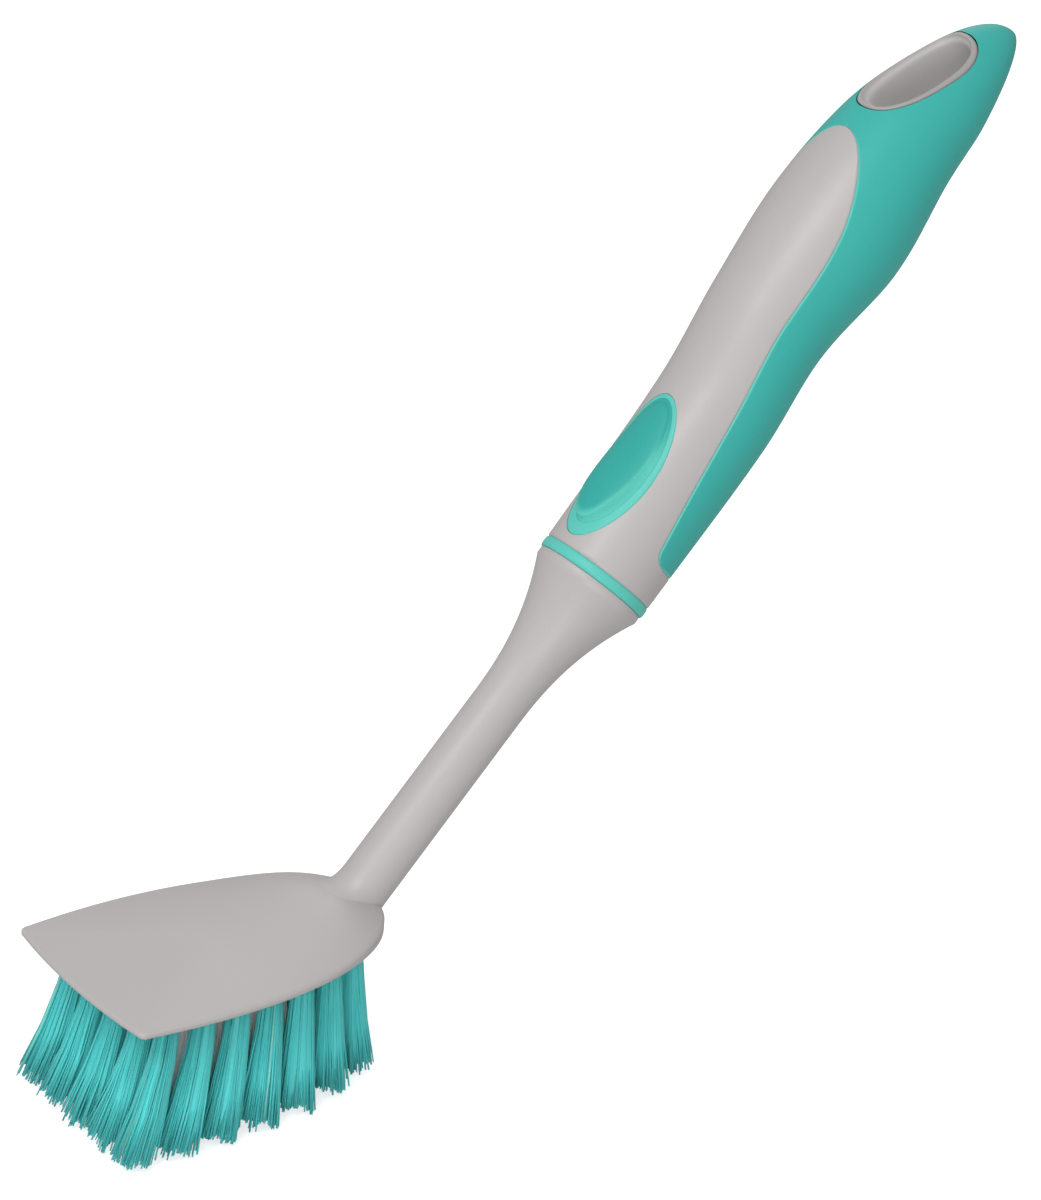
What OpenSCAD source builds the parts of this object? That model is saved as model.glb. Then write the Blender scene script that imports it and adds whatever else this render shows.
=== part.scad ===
// Dish wand: a scrubbing head on a hollow handle that holds soap and doses it through a thumb button.
// It stands on its bristles: X runs from the scraping edge to the tail, Z is up and Y is across.
// The origin is the middle of the outline on the surface that it stands on. All sizes are in mm.

/* [Neck] */
// Length from the seal ring's middle to the foot of the shaft on the head plate
neck_len = 86.8; // [70:0.2:120]
// Diameter of the slim part of the shaft
shaft_d = 11.6; // [10:0.1:16]
// Length of the trumpet flare below the rim
flare_len = 31.5; // [20:0.5:45]
// How suddenly the flare opens, 1 is a straight cone
flare_power = 2.3; // [1.2:0.1:4]
// Length of the rim's straight band
rim_len = 1.6; // [1:0.1:6]
// How far the rim lies inside the seal ring
rim_step = 0.4; // [0.2:0.1:1.5]
// Diameter of the soap channel through the shaft
soap_bore_d = 4.4; // [2.5:0.1:6]

/* [Seal ring and thread] */
// Outside diameter of the seal ring
ring_d = 26; // [25.4:0.1:34]
// Width of the seal ring along the axis
ring_w = 2.4; // [1.5:0.1:5]
// How far the seal ring's middle bulges past its edges
ring_bulge = 0.25; // [0.1:0.05:0.6]
// Diameter of the spigot that screws into the grip
spigot_d = 18; // [15:0.1:19]
// Length of the spigot past the seal ring
spigot_len = 8; // [7:0.1:8.4]
// Climb of the thread in one turn
thread_pitch = 2.5; // [2:0.1:2.8]
// Height of the thread ridge
thread_depth = 0.9; // [0.6:0.05:1.2]
// Turns that the thread ridge makes
thread_turns = 1.5; // [1:0.25:2]

/* [Valve] */
// Diameter of the slit valve
valve_d = 14.8; // [11:0.1:15]
// Thickness of the slit valve
valve_t = 1.4; // [1:0.1:2.5]
// Width of the valve's slits
slit_w = 0.3; // [0.2:0.05:0.8]
// Thickness of the ring that holds the valve
retainer_t = 1.6; // [1:0.1:2.5]
// Opening in the ring that holds the valve
retainer_bore_d = 9.5; // [6:0.1:10.5]

/* [Grip] */
// Outside diameter of the grip at its mouth
mouth_d = 25.8; // [25.4:0.1:32]
// Distance from the seal ring to the waist on the thumb side
waist_x = 42; // [38:0.5:48]
// Diameter of that waist
waist_d = 26.8; // [26.4:0.1:34]
// How far that waist is lifted towards the thumb
waist_lift = 1.1; // [0:0.1:3]
// Distance from the seal ring to the finger waist on the underside
finger_x = 64.5; // [58:0.5:72]
// Diameter of the finger waist
finger_d = 27.7; // [27.4:0.1:34]
// How far the finger waist is lifted towards the thumb
finger_lift = 4.5; // [3:0.1:5.2]
// Distance from the seal ring to the palm swell
palm_x = 88; // [82:0.5:96]
// Diameter of the palm swell
palm_d = 31.8; // [29:0.1:40]
// How far the palm swell is lifted towards the thumb
palm_lift = 4.5; // [3:0.1:6]
// Distance from the seal ring to the shoulder where the tail starts
shoulder_x = 110; // [106:0.5:114]
// Diameter of the shoulder
shoulder_d = 27.6; // [26:0.1:34]
// How far the shoulder is lifted towards the thumb
shoulder_lift = 5.3; // [4:0.1:7]
// Distance from the seal ring to the middle of the tail
tail_x = 125; // [122:0.5:128]
// Diameter of the tail at its middle
tail_d = 22.4; // [21.6:0.1:28]
// How far the middle of the tail is lifted towards the thumb
tail_lift = 3.2; // [3:0.1:6]
// Distance from the seal ring to the tail's tip
tip_x = 145.6; // [142:0.2:152]
// How far the tail's tip is lifted, less than 0 droops
tip_lift = -2.6; // [-3:0.1:2]
// Thickness of the soft skin on the underside and tail
skin_t = 1.5; // [0.8:0.1:2.2]
// Distance from the seal ring to the lower end of the soft skin
skin_x = 9.4; // [8:0.2:14]
// Half of the arc that the hard tongue covers near the mouth, in degrees
tongue_mouth_angle = 85; // [80:1:92]
// Half of the arc that the hard tongue covers at the fingers, in degrees
tongue_angle = 61; // [50:1:72]
// Distance from the seal ring to the tongue's end
tongue_x = 104.8; // [100:0.2:107]

/* [Reservoir] */
// Diameter of the soap reservoir
cavity_d = 18.6; // [14:0.1:19]
// Distance from the seal ring to the reservoir's closed end
cavity_x = 102; // [80:0.5:106]
// Slope of the reservoir towards the thumb, in degrees
cavity_tilt = 3.2; // [2:0.1:4]

/* [Thumb button] */
// Distance from the seal ring to the middle of the button
button_x = 21.2; // [20.9:0.1:25]
// Length of the button with its frame
button_len = 35.2; // [35:0.2:36.6]
// Width of the button with its frame
button_w = 16.2; // [16:0.2:18.4]
// Depth of the frame in the grip
frame_depth = 1.6; // [1.2:0.1:2.2]
// Length of the opening in the frame
opening_len = 31; // [30:0.2:31.4]
// Width of the opening in the frame
opening_w = 13.6; // [12.8:0.2:14.2]
// How far the opening lies behind the middle of the frame
opening_shift = 1; // [0.9:0.1:1.3]
// Length of the pad that the thumb presses
pad_len = 29.2; // [22:0.2:29.6]
// Width of the pad that the thumb presses
pad_w = 11.8; // [8:0.2:12.4]
// How far the pad stands proud at its front
pad_rise = 2.5; // [0.6:0.1:2.8]
// Crown of the pad's top
pad_crown = 0.35; // [0.1:0.05:0.8]
// Thickness of the pad
pad_t = 2; // [1.6:0.1:2.1]
// Thickness of the bending web round the pad
web_t = 0.9; // [0.5:0.1:1.2]

/* [Hang slot] */
// Distance from the seal ring to the middle of the hang slot
slot_x = 124; // [122.5:0.5:126]
// Length of the liner round the slot
liner_len = 26.8; // [20:0.2:27.6]
// Width of the liner round the slot
liner_w = 15.8; // [11:0.2:16.4]
// Width of the liner's bevelled rim
liner_rim = 1.8; // [1.2:0.1:3.2]
// How deep the liner's bevel goes
liner_bevel = 1.1; // [0.4:0.1:2]

/* [Head plate] */
// Angle between the shaft and the head plate, in degrees
head_angle = 48; // [35:1:60]
// Length of the head plate from its scraping edge to the shaft's foot
head_reach = 63; // [56:0.5:75]
// Length of the head plate behind the shaft's foot
head_rear = 6.4; // [6:0.1:12]
// Width of the head plate at its scraping edge
edge_w = 47.5; // [44:0.5:54]
// Greatest width of the head plate
head_w = 50.2; // [48:0.2:60]
// Distance from the scraping edge to the greatest width
widest_s = 20; // [15:0.5:28]
// How square the rear of the plate is, 2 is an ellipse
rear_power = 2.2; // [2:0.1:3]
// Radius of the scraping edge's corners
corner_r = 2.4; // [2:0.1:6]
// How far the middle of the scraping edge bows forwards
edge_bow = 1.6; // [0:0.1:3]
// Thickness of the plate at its edge
edge_t = 1.4; // [1.3:0.1:3]
// Height of the plate's crown over its edge
crown_h = 2.4; // [1.4:0.1:4]
// Height of the swelling at the shaft's foot
swell_h = 5.2; // [2:0.1:7]
// How much thicker the edge grows at the rear
rear_thick = 1.4; // [0:0.1:3]

/* [Bristles] */
// Distance from the plate's edge to the bristle block
block_inset = 4.5; // [4:0.1:6]
// Depth of the bristle block under the plate
block_drop = 2; // [1.2:0.1:3.5]
// Depth of the seat in the plate that holds the block
seat_depth = 1.2; // [0.8:0.1:1.6]
// Number of tuft rows from the scraping edge to the shaft
tuft_rows = 7; // [4:1:7]
// Distance from the scraping edge to the first tuft row
first_row_s = 10.4; // [8.2:0.1:12]
// Distance between tuft rows
row_pitch = 8.2; // [6.5:0.1:8.4]
// Least distance between the tufts in a row
tuft_pitch = 8; // [6.5:0.1:9]
// Distance from the plate's edge to the outer tufts' middles
tuft_inset = 7.6; // [7.2:0.1:9]
// Diameter of a tuft at its root
tuft_d = 4.8; // [3.6:0.1:5.4]
// Depth of a tuft's hole in the block
tuft_hole = 2.5; // [1.8:0.1:2.8]
// Length of the bristles below the plate
bristle_len = 32; // [22:0.5:40]
// Unevenness of the bristles' ends
ragged = 2.6; // [0:0.1:4]
// Diameter of a tuft at its tips
tip_d = 7.2; // [4.8:0.1:7.4]
// How far the front bristles lean forwards
lean_front = 8; // [0:0.5:12]
// How far the rear bristles lean backwards
lean_back = 2.4; // [0:0.1:4]
// How far the outer bristles lean sideways
lean_side = 1.5; // [0:0.5:6]
// Thickness of a staple's wire
staple_t = 0.4; // [0.2:0.1:0.6]

/* [Soap outlet] */
// Bore of the soap outlet
outlet_bore_d = 2.4; // [1.5:0.1:3]
// Outside diameter of the soap outlet
outlet_d = 5; // [4.2:0.1:5.6]
// How far the outlet reaches below the block
outlet_drop = 4; // [1:0.5:8]
// Width of the soap groove in the plate
groove_w = 3.4; // [2.5:0.1:5]
// Depth of the soap groove over the block's seat
groove_depth = 1.2; // [0.6:0.1:1.4]
// Diameter of the pegs that fix the block
peg_d = 3; // [2:0.1:4]
// Length of those pegs
peg_len = 1.4; // [0.8:0.1:1.6]
// Distance of the pegs from the plate's middle line
peg_y = 6; // [5:0.2:6.4]

/* [Fits] */
// Clearance between parts that are pushed together
fit_gap = 0.05; // [0.02:0.01:0.15]
// Clearance between threads, and round parts that move
thread_gap = 0.3; // [0.2:0.05:0.4]

/* [Hidden] */
$fn = 64;
soap_grey = "#bab5b3";
soft_teal = "#43aaa3";
light_teal = "#5fc2b5";
shaft_r = shaft_d / 2;
mouth_x = ring_w / 2;
rim_x = -ring_w / 2;
rim_r = ring_d / 2 - rim_step;
mouth_bore_r = spigot_d / 2 + thread_depth + thread_gap;
spigot_end = mouth_x + spigot_len;
valve_x = spigot_end - retainer_t - valve_t;
reach = head_reach + head_rear;
block_h = block_drop + seat_depth;

// Along the grip, w is the root of the distance to the tip, so the tail ends round.
function to_w(x) = sqrt(max(tip_x - x, 0));
grip_line = [
    [to_w(mouth_x), mouth_d / 2, 0],
    [to_w(waist_x), waist_d / 2, waist_lift],
    [to_w(finger_x), finger_d / 2, finger_lift],
    [to_w(palm_x), palm_d / 2, palm_lift],
    [to_w(shoulder_x), shoulder_d / 2, shoulder_lift],
    [to_w(tail_x), tail_d / 2, tail_lift],
    [0, 0, tip_lift]
];
last_key = len(grip_line) - 1;
function key_slope(k, c) =
    let (a = grip_line[max(k - 1, 0)], b = grip_line[min(k + 1, last_key)])
    (b[c] - a[c]) / (b[0] - a[0]);
function key_at(w, k = 0) = k >= last_key - 1 || w >= grip_line[k + 1][0] ? k : key_at(w, k + 1);
// A cubic through the stations: column 1 is the radius and column 2 the lift.
function smooth_line(w, c) =
    let (k = key_at(w), a = grip_line[k], b = grip_line[k + 1], h = b[0] - a[0], t = (w - a[0]) / h)
    a[c] * (1 + 2 * t) * (1 - t) * (1 - t) + b[c] * t * t * (3 - 2 * t)
    + h * key_slope(k, c) * t * (1 - t) * (1 - t) - h * key_slope(k + 1, c) * t * t * (1 - t);
function grip_r(x) = smooth_line(to_w(x), 1);
function grip_lift(x) = smooth_line(to_w(x), 2);
function top_of_grip(x, y) = grip_lift(x) + sqrt(max(pow(grip_r(x), 2) - y * y, 0));
function under_grip(x, y) = grip_lift(x) - sqrt(max(pow(grip_r(x), 2) - y * y, 0));

// The hard tongue narrows from the mouth to the fingers and ends in a half ellipse.
corner_len = 2.4;
corner_angle = 16;
least_angle = 8;
function skin_corner(x) =
    let (t = min(max((skin_x + corner_len - x) / corner_len, 0), 1))
    corner_angle * (1 - sqrt(1 - t * t));
function tongue_side(x) =
    x < finger_x
    ? tongue_angle + (tongue_mouth_angle - tongue_angle) * pow(1 - (x - skin_x) / (finger_x - skin_x), 2)
    : tongue_angle * sqrt(max(1 - pow((x - finger_x) / (tongue_x - finger_x), 2), 0));
function half_tongue(x) =
    x < skin_x ? tongue_mouth_angle + corner_angle
    : x > tongue_x ? least_angle
    : max(tongue_side(x) + skin_corner(x), least_angle);

// Rows of the grip's surface: the collar, the tongue with its skin, and the tail.
collar_rows = 3;
tongue_rows = 20;
tail_rows = 9;
skin_row = collar_rows;
tail_row = collar_rows + tongue_rows;
last_row = tail_row + tail_rows - 1;
function row_x(i) =
    i <= skin_row ? mouth_x + (skin_x - mouth_x) * i / collar_rows
    : i <= tail_row ? skin_x + (tongue_x - skin_x) * (0.5 - 0.5 * cos(180 * (i - skin_row) / tongue_rows))
    : tip_x - pow(to_w(tongue_x) * (1 - (i - tail_row) / tail_rows), 2);
tongue_cols = 12;
skin_cols = 18;
cols = tongue_cols + skin_cols;
function col_angle(i, j) =
    let (h = half_tongue(row_x(i)))
    j <= tongue_cols ? h * (2 * j / tongue_cols - 1)
    : h + (360 - 2 * h) * (j - tongue_cols) / skin_cols;
function grip_point(i, j, depth) =
    let (x = row_x(i), a = col_angle(i, j), r = grip_r(x) - depth)
    [x, -r * sin(a), grip_lift(x) + r * cos(a)];
function is_skin(i, j) = i >= skin_row && (j >= tongue_cols || i >= tail_row);
surface_points = [
    for (depth = [0, skin_t], i = [0:last_row], j = [0:cols - 1]) grip_point(i, j, depth)
];
outer_tip = 2 * (last_row + 1) * cols;
tip_points = [[tip_x, 0, tip_lift], [tip_x - skin_t, 0, tip_lift]];
function at(i, j, layer) = (layer * (last_row + 1) + i) * cols + (j + cols) % cols;
function layer_of(i, j) = is_skin(i, (j + cols) % cols) ? 1 : 0;
// A four-sided patch as two triangles, turned round when the flag is set.
function patch(a, b, c, d, turned = false) = turned ? [[a, c, b], [a, d, c]] : [[a, b, c], [a, c, d]];
function surface_cell(i, j, layer, turned = false) =
    patch(at(i, j, layer), at(i + 1, j, layer), at(i + 1, j + 1, layer), at(i, j + 1, layer), turned);
function tip_cell(j, layer, turned = false) =
    turned
    ? [[at(last_row, j, layer), at(last_row, j + 1, layer), outer_tip + layer]]
    : [[at(last_row, j, layer), outer_tip + layer, at(last_row, j + 1, layer)]];
// Steps between the tongue and the skin's bed, seen from the tongue.
function row_step(i, j, turned = false) =
    patch(at(i, j, 0), at(i, j, 1), at(i, j + 1, 1), at(i, j + 1, 0), turned);
function col_step(i, j, turned = false) =
    patch(at(i, j, 0), at(i + 1, j, 0), at(i + 1, j, 1), at(i, j, 1), turned);
function all_steps(turned) = [
    for (i = [1:last_row - 1], j = [0:cols - 1])
        if (layer_of(i, j) == 1 && layer_of(i - 1, j) == 0) each row_step(i, j, turned),
    for (i = [0:last_row - 1])
        if (layer_of(i, tongue_cols) == 1 && layer_of(i, tongue_cols - 1) == 0)
            each concat(col_step(i, tongue_cols, turned), col_step(i, 0, !turned))
];

// A ring of points round an ellipse in the plane seen from the thumb.
ring_sides = 40;
function oval(cx, len, w, power = 2) = [
    for (k = [0:ring_sides - 1])
        let (c = cos(360 * k / ring_sides), s = sin(360 * k / ring_sides))
        [cx + len / 2 * sign(c) * pow(abs(c), 2 / power), w / 2 * sign(s) * pow(abs(s), 2 / power)]
];
function loop_faces(loops, closed) = [
    for (n = [0:loops - (closed ? 1 : 2)], k = [0:ring_sides - 1])
        let (a = n * ring_sides, b = (n + 1) % loops * ring_sides, m = (k + 1) % ring_sides)
        each patch(a + k, b + k, b + m, a + m)
];
frame_oval = oval(button_x, button_len, button_w);
pad_x = button_x + opening_shift;
web_oval = oval(pad_x, opening_len, opening_w);
pad_oval = oval(pad_x, pad_len, pad_w);
// The pad's rise is greatest in its front third and fades to the rear.
function pad_height(x) =
    let (t = min(max((x - pad_x) / pad_len + 0.5, 0), 1))
    pad_rise * (0.1 + 0.9 * pow(1 - t, 1.3)) * (0.45 + 0.55 * ease(4 * t));
// Points of an outline on the grip's thumb side, lifted by a height.
function on_top(outline, lift) = [for (p = outline) [p[0], p[1], top_of_grip(p[0], p[1]) + lift]];
function pad_loop(lift, share = 1) = [
    for (p = pad_oval)
        let (x = pad_x + (p[0] - pad_x) * share, y = p[1] * share)
        [x, y, top_of_grip(x, y) + pad_height(x) + lift]
];
slot_power = 2.4;
liner_oval = oval(slot_x, liner_len, liner_w, slot_power);
slot_oval = oval(slot_x, liner_len - 2 * liner_rim, liner_w - 2 * liner_rim, slot_power);

// The head plate's outline, from the middle of the scraping edge round to the rear.
plate_mid = -head_reach / 2;
function half_width(s) =
    s < widest_s
    ? edge_w / 2 + (head_w - edge_w) / 2 * sin(90 * max(s, 0) / widest_s)
    : head_w / 2 * pow(max(1 - pow((s - widest_s) / (reach - widest_s), rear_power), 0), 1 / rear_power);
function bow(y) = edge_bow * (1 - pow(y / (edge_w / 2 - corner_r), 2));
front_side = [
    for (k = [0:3]) let (y = (edge_w / 2 - corner_r) * k / 4) [-head_reach - bow(y), y],
    for (a = [90:-22.5:0])
        [-head_reach + corner_r * (1 - sin(a)), half_width(corner_r) + corner_r * (cos(a) - 1)],
    for (k = [0.25, 0.6]) let (s = corner_r + (widest_s - corner_r) * k) [s - head_reach, half_width(s)]
];
rear_side = [
    for (a = [90:-9:0])
        [
            widest_s - head_reach + (reach - widest_s) * pow(cos(a), 2 / rear_power),
            head_w / 2 * pow(sin(a), 2 / rear_power)
        ]
];
half_plate = concat(front_side, rear_side);
plate_outline = concat(
    half_plate,
    [for (k = [len(half_plate) - 2:-1:1]) [half_plate[k][0], -half_plate[k][1]]]
);
plate_sides = len(plate_outline);
function ease(t) = let (u = min(max(t, 0), 1)) u * u * (3 - 2 * u);
function plate_top(x, share) =
    let (s = x + head_reach)
    edge_t + rear_thick * ease((s - 0.6 * reach) / (0.4 * reach))
    + crown_h * (0.35 + 0.65 * ease(2.5 * s / reach)) * (1 - share * share)
    + swell_h * ease((s - 0.4 * reach) / (0.5 * reach)) * (1 - pow(share, 3));
plate_shares = [1, 0.94, 0.82, 0.64, 0.42, 0.2];
// The bristle block's outline lies inside the plate's and is squarer at the rear.
block_power = rear_power + 0.4;
function block_half(s, d) =
    let (t = (s - widest_s) / (reach - d - widest_s))
    s < widest_s
    ? half_width(s) - d
    : (head_w / 2 - d) * pow(max(1 - pow(t, block_power), 0), 1 / block_power);
function half_block(d) = concat(
    [for (k = [0:4]) let (s = d + (widest_s - d) * k / 4) [s - head_reach, block_half(s, d)]],
    [
        for (a = [81:-9:0])
            let (c = pow(cos(a), 2 / block_power), s = widest_s + (reach - d - widest_s) * c)
            [s - head_reach, (head_w / 2 - d) * pow(sin(a), 2 / block_power)]
    ]
);
function inset_outline(d) =
    let (half = half_block(d))
    concat(half, [for (k = [len(half) - 2:-1:0]) [half[k][0], -half[k][1]]]);

// Tufts stand in rows; the middle of one row is left for the soap outlet.
outlet_row = 3;
function row_s(k) = first_row_s + row_pitch * k;
// The outer tufts keep a wall of the block round them, also where it curves in at the rear.
tuft_wall = 0.4;
tuft_reach = 0.75 * tuft_d / 2 + tuft_wall;
function row_half(k) =
    min(half_width(row_s(k)) - tuft_inset, block_half(row_s(k) + tuft_reach, block_inset) - tuft_reach);
function row_count(k) = floor(2 * row_half(k) / tuft_pitch) + 1;
function tuft_y(k, j) = row_count(k) < 2 ? 0 : row_half(k) * (2 * j / (row_count(k) - 1) - 1);
function is_outlet(k, j) = k == outlet_row && abs(tuft_y(k, j)) < 0.1;
tufts = [
    for (k = [0:tuft_rows - 1], j = [0:row_count(k) - 1]) if (!is_outlet(k, j)) [k, j]
];
function tuft_place(t) = [row_s(t[0]) - head_reach, tuft_y(t[0], t[1])];
function is_inner(t) =
    t[0] > 0 && t[0] < tuft_rows - 2 && t[1] > 0 && t[1] < row_count(t[0]) - 1;
outlet_place = [row_s(outlet_row) - head_reach, 0];
tuft_names = [
    for (t = tufts) str(is_inner(t) ? "tuft_grey_" : "tuft_teal_", t[0] + 1, "_", t[1] + 1)
];

// A tuft's root is a disc of small triangles; a strand grows from every other one.
rings_in_tuft = 2;
function disc_point(n, m) =
    n == 0 ? [0, 0]
    : let (side = floor(m / n), f = (m - side * n) / n, r = tuft_d / 2 * n / rings_in_tuft)
      let (a = 60 * (side + f))
      [r * cos(a), r * sin(a)];
disc = [for (n = [0:rings_in_tuft], m = [0:max(6 * n - 1, 0)]) disc_point(n, m)];
function disc_id(n, m) = n == 0 ? 0 : 1 + 3 * n * (n - 1) + (m + 6 * n) % (6 * n);
function out_root(n, side, f) =
    let (m = side * n + f, k = side * (n - 1) + f)
    [disc_id(n, m), disc_id(n, m + 1), disc_id(n - 1, k)];
function in_root(n, side, f) =
    let (m = side * n + f, k = side * (n - 1) + f)
    [disc_id(n, m), disc_id(n - 1, k), disc_id(n - 1, k - 1)];
function roots(odd) = [
    for (n = [1:rings_in_tuft], side = [0:5])
        each side % 2 == odd
        ? [for (f = [0:n - 1]) out_root(n, side, f)]
        : [for (f = [1:1:n - 1]) in_root(n, side, f)]
];
strand_roots = roots(0);
flat_roots = roots(1);
rim_first = 1 + 3 * rings_in_tuft * (rings_in_tuft - 1);
rim_count = 6 * rings_in_tuft;
strand_shares = [0.5, 1];
strand_taper = [0.72, 0.42];
tip_cut = 0.5;
function scatter(n) = 2 * (sin(n * 137.5 + 31 * sin(n * 71)) * 0.5 + 0.5) - 1;
function lean(t) =
    let (p = tuft_place(t), s = (row_s(t[0]) - first_row_s) / (row_pitch * max(tuft_rows - 1, 1)))
    [lean_back * s - lean_front * (1 - s), p[1] / (head_w / 2 - tuft_inset) * lean_side];
// A point on a strand: it leans more the further it gets, and its tuft opens like a fan.
function strand_point(t, root, corner, share, taper, drop) =
    let (
        mid = (disc[root[0]] + disc[root[1]] + disc[root[2]]) / 3,
        fan = 1 + (tip_d / tuft_d - 1) * share,
        off = lean(t) * (0.45 * share + 0.55 * share * share),
        p = mid * fan + (disc[corner] - mid) * taper + off
    )
    [p[0], p[1], -block_drop - (drop - block_drop) * share];

// The middle of the whole outline along X, between the front bristles and the tail.
tip_places = [
    for (t = tufts, r = strand_roots, c = r)
        tuft_place(t)[0] + strand_point(t, r, c, 1, strand_taper[1], bristle_len)[0]
];
front_x = min(min(tip_places), -head_reach - edge_bow);
back_x = max([for (p = surface_points) (p[0] + neck_len) * cos(head_angle) - p[2] * sin(head_angle)]);
middle_x = (front_x + back_x) / 2;

module on_head() {
    translate([-middle_x, 0, bristle_len]) children();
}

module on_handle() {
    on_head() rotate([0, -head_angle, 0]) translate([neck_len, 0, 0]) children();
}

module about_axis() {
    rotate([0, 90, 0]) rotate_extrude() children();
}

module disc_at(x, r, h) {
    translate([x, 0, 0]) rotate([0, 90, 0]) cylinder(r = r, h = h);
}

// A helical ridge that stands on a cylinder, pointing out or in.
module thread(r, tip_r, start, turns) {
    steps = 24;
    count = round(turns * steps);
    half = thread_pitch * 0.25;
    crest = thread_pitch * 0.08;
    shape = [[r, -half], [tip_r, -crest], [tip_r, crest], [r, half]];
    points = [
        for (n = [0:count], p = shape)
            let (a = 360 * n / steps)
            [start + thread_pitch * n / steps + p[1], p[0] * sin(a), -p[0] * cos(a)]
    ];
    sides = [
        for (n = [0:count - 1], m = [0:3])
            let (a = 4 * n, b = 4 * n + 4, k = (m + 1) % 4)
            each patch(a + m, a + k, b + k, b + m, tip_r < r)
    ];
    near_end = tip_r < r ? [[0, 1, 2], [0, 2, 3]] : [[0, 2, 1], [0, 3, 2]];
    far = 4 * count;
    far_end = [for (f = near_end) [far + f[0], far + f[2], far + f[1]]];
    polyhedron(points, concat(sides, near_end, far_end));
}

flare_steps = 12;
module neck_profile() {
    polygon(concat(
        [[soap_bore_d / 2, -neck_len - shaft_d], [shaft_r, -neck_len - shaft_d]],
        [
            for (k = [0:flare_steps])
                let (t = k / flare_steps)
                [
                    shaft_r + (rim_r - shaft_r) * pow(t, flare_power),
                    rim_x - rim_len - flare_len * (1 - t)
                ]
        ],
        [
            [rim_r, rim_x],
            [spigot_d / 2, rim_x],
            [spigot_d / 2, spigot_end],
            [valve_d / 2 + fit_gap, spigot_end],
            [valve_d / 2 + fit_gap, valve_x],
            [retainer_bore_d / 2, valve_x],
            [retainer_bore_d / 2, rim_x],
            [soap_bore_d / 2, rim_x - flare_len]
        ]
    ));
}

module plate_body() {
    tops = [
        for (share = plate_shares, p = plate_outline)
            let (x = plate_mid + (p[0] - plate_mid) * share)
            [x, p[1] * share, plate_top(x, share)]
    ];
    crest = [plate_mid, 0, plate_top(plate_mid, 0)];
    floor_points = [for (p = plate_outline) [p[0], p[1], 0]];
    n = plate_sides;
    rings = len(plate_shares);
    points = concat(tops, [crest], floor_points, [[plate_mid, 0, 0]]);
    polyhedron(points, concat(
        [
            for (k = [0:rings - 2], m = [0:n - 1])
                let (a = k * n, b = a + n, q = (m + 1) % n)
                each patch(a + m, a + q, b + q, b + m)
        ],
        [for (m = [0:n - 1]) [(rings - 1) * n + m, (rings - 1) * n + (m + 1) % n, rings * n]],
        [
            for (m = [0:n - 1])
                let (b = rings * n + 1, q = (m + 1) % n)
                each patch(b + m, b + q, q, m)
        ],
        [for (m = [0:n - 1]) [rings * n + 1 + (m + 1) % n, rings * n + 1 + m, (rings + 1) * n + 1]]
    ));
}

module block_outline() {
    polygon(inset_outline(block_inset));
}

module pegs(extra) {
    for (s = [0.28, 0.68], side = [-1, 1])
        translate([s * reach - head_reach, side * peg_y, seat_depth - 0.5])
            cylinder(d = peg_d + 2 * extra, h = peg_len + extra + 0.5, $fn = 32);
}

module neck() {
    rotate([0, -head_angle, 0]) translate([neck_len, 0, 0]) {
        about_axis() neck_profile();
        thread(spigot_d / 2 - 0.2, spigot_d / 2 + thread_depth, mouth_x + thread_pitch * 0.8, thread_turns);
    }
}

under_size = 2 * (head_reach + head_w);
module head_moulding() {
    color(soap_grey) on_head() difference() {
        union() {
            neck();
            plate_body();
        }
        translate([-under_size / 2, -under_size / 2, -under_size]) cube(under_size);
        linear_extrude(2 * seat_depth, center = true) seat_outline();
        pegs(fit_gap);
        translate([outlet_place[0] - groove_w / 2, -groove_w / 2, 0])
            cube([-outlet_place[0] + groove_w / 2, groove_w, seat_depth + groove_depth]);
        rotate([0, -head_angle, 0]) disc_at(-shaft_d, soap_bore_d / 2, shaft_d + neck_len / 2);
    }
}

module seat_outline() {
    polygon(inset_outline(block_inset - fit_gap));
}

module bristle_block() {
    color(soap_grey) on_head() {
        difference() {
            union() {
                translate([0, 0, -block_drop]) linear_extrude(block_h) block_outline();
                pegs(0);
            }
            for (t = tufts)
                translate([tuft_place(t)[0], tuft_place(t)[1], -block_drop - 1])
                    cylinder(r = tuft_d / 2 + fit_gap, h = tuft_hole + 1, $fn = 32);
            translate([outlet_place[0], 0, -block_drop - 1])
                cylinder(d = outlet_d + 2 * fit_gap, h = block_h + 2, $fn = 32);
        }
    }
}

module outlet_nozzle() {
    color(soft_teal) on_head() translate([outlet_place[0], 0, 0])
        rotate_extrude($fn = 48) polygon([
            [outlet_bore_d / 2, seat_depth],
            [outlet_bore_d / 2, -block_drop - outlet_drop],
            [outlet_d / 2 - 0.9, -block_drop - outlet_drop],
            [outlet_d / 2, -block_drop],
            [outlet_d / 2, seat_depth]
        ]);
}

module tuft_staples() {
    color("silver") on_head() for (t = tufts)
        translate([tuft_place(t)[0], tuft_place(t)[1], tuft_hole - block_drop - staple_t / 2])
            cube([tuft_d * 0.8, staple_t * 1.5, staple_t], center = true);
}

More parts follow.
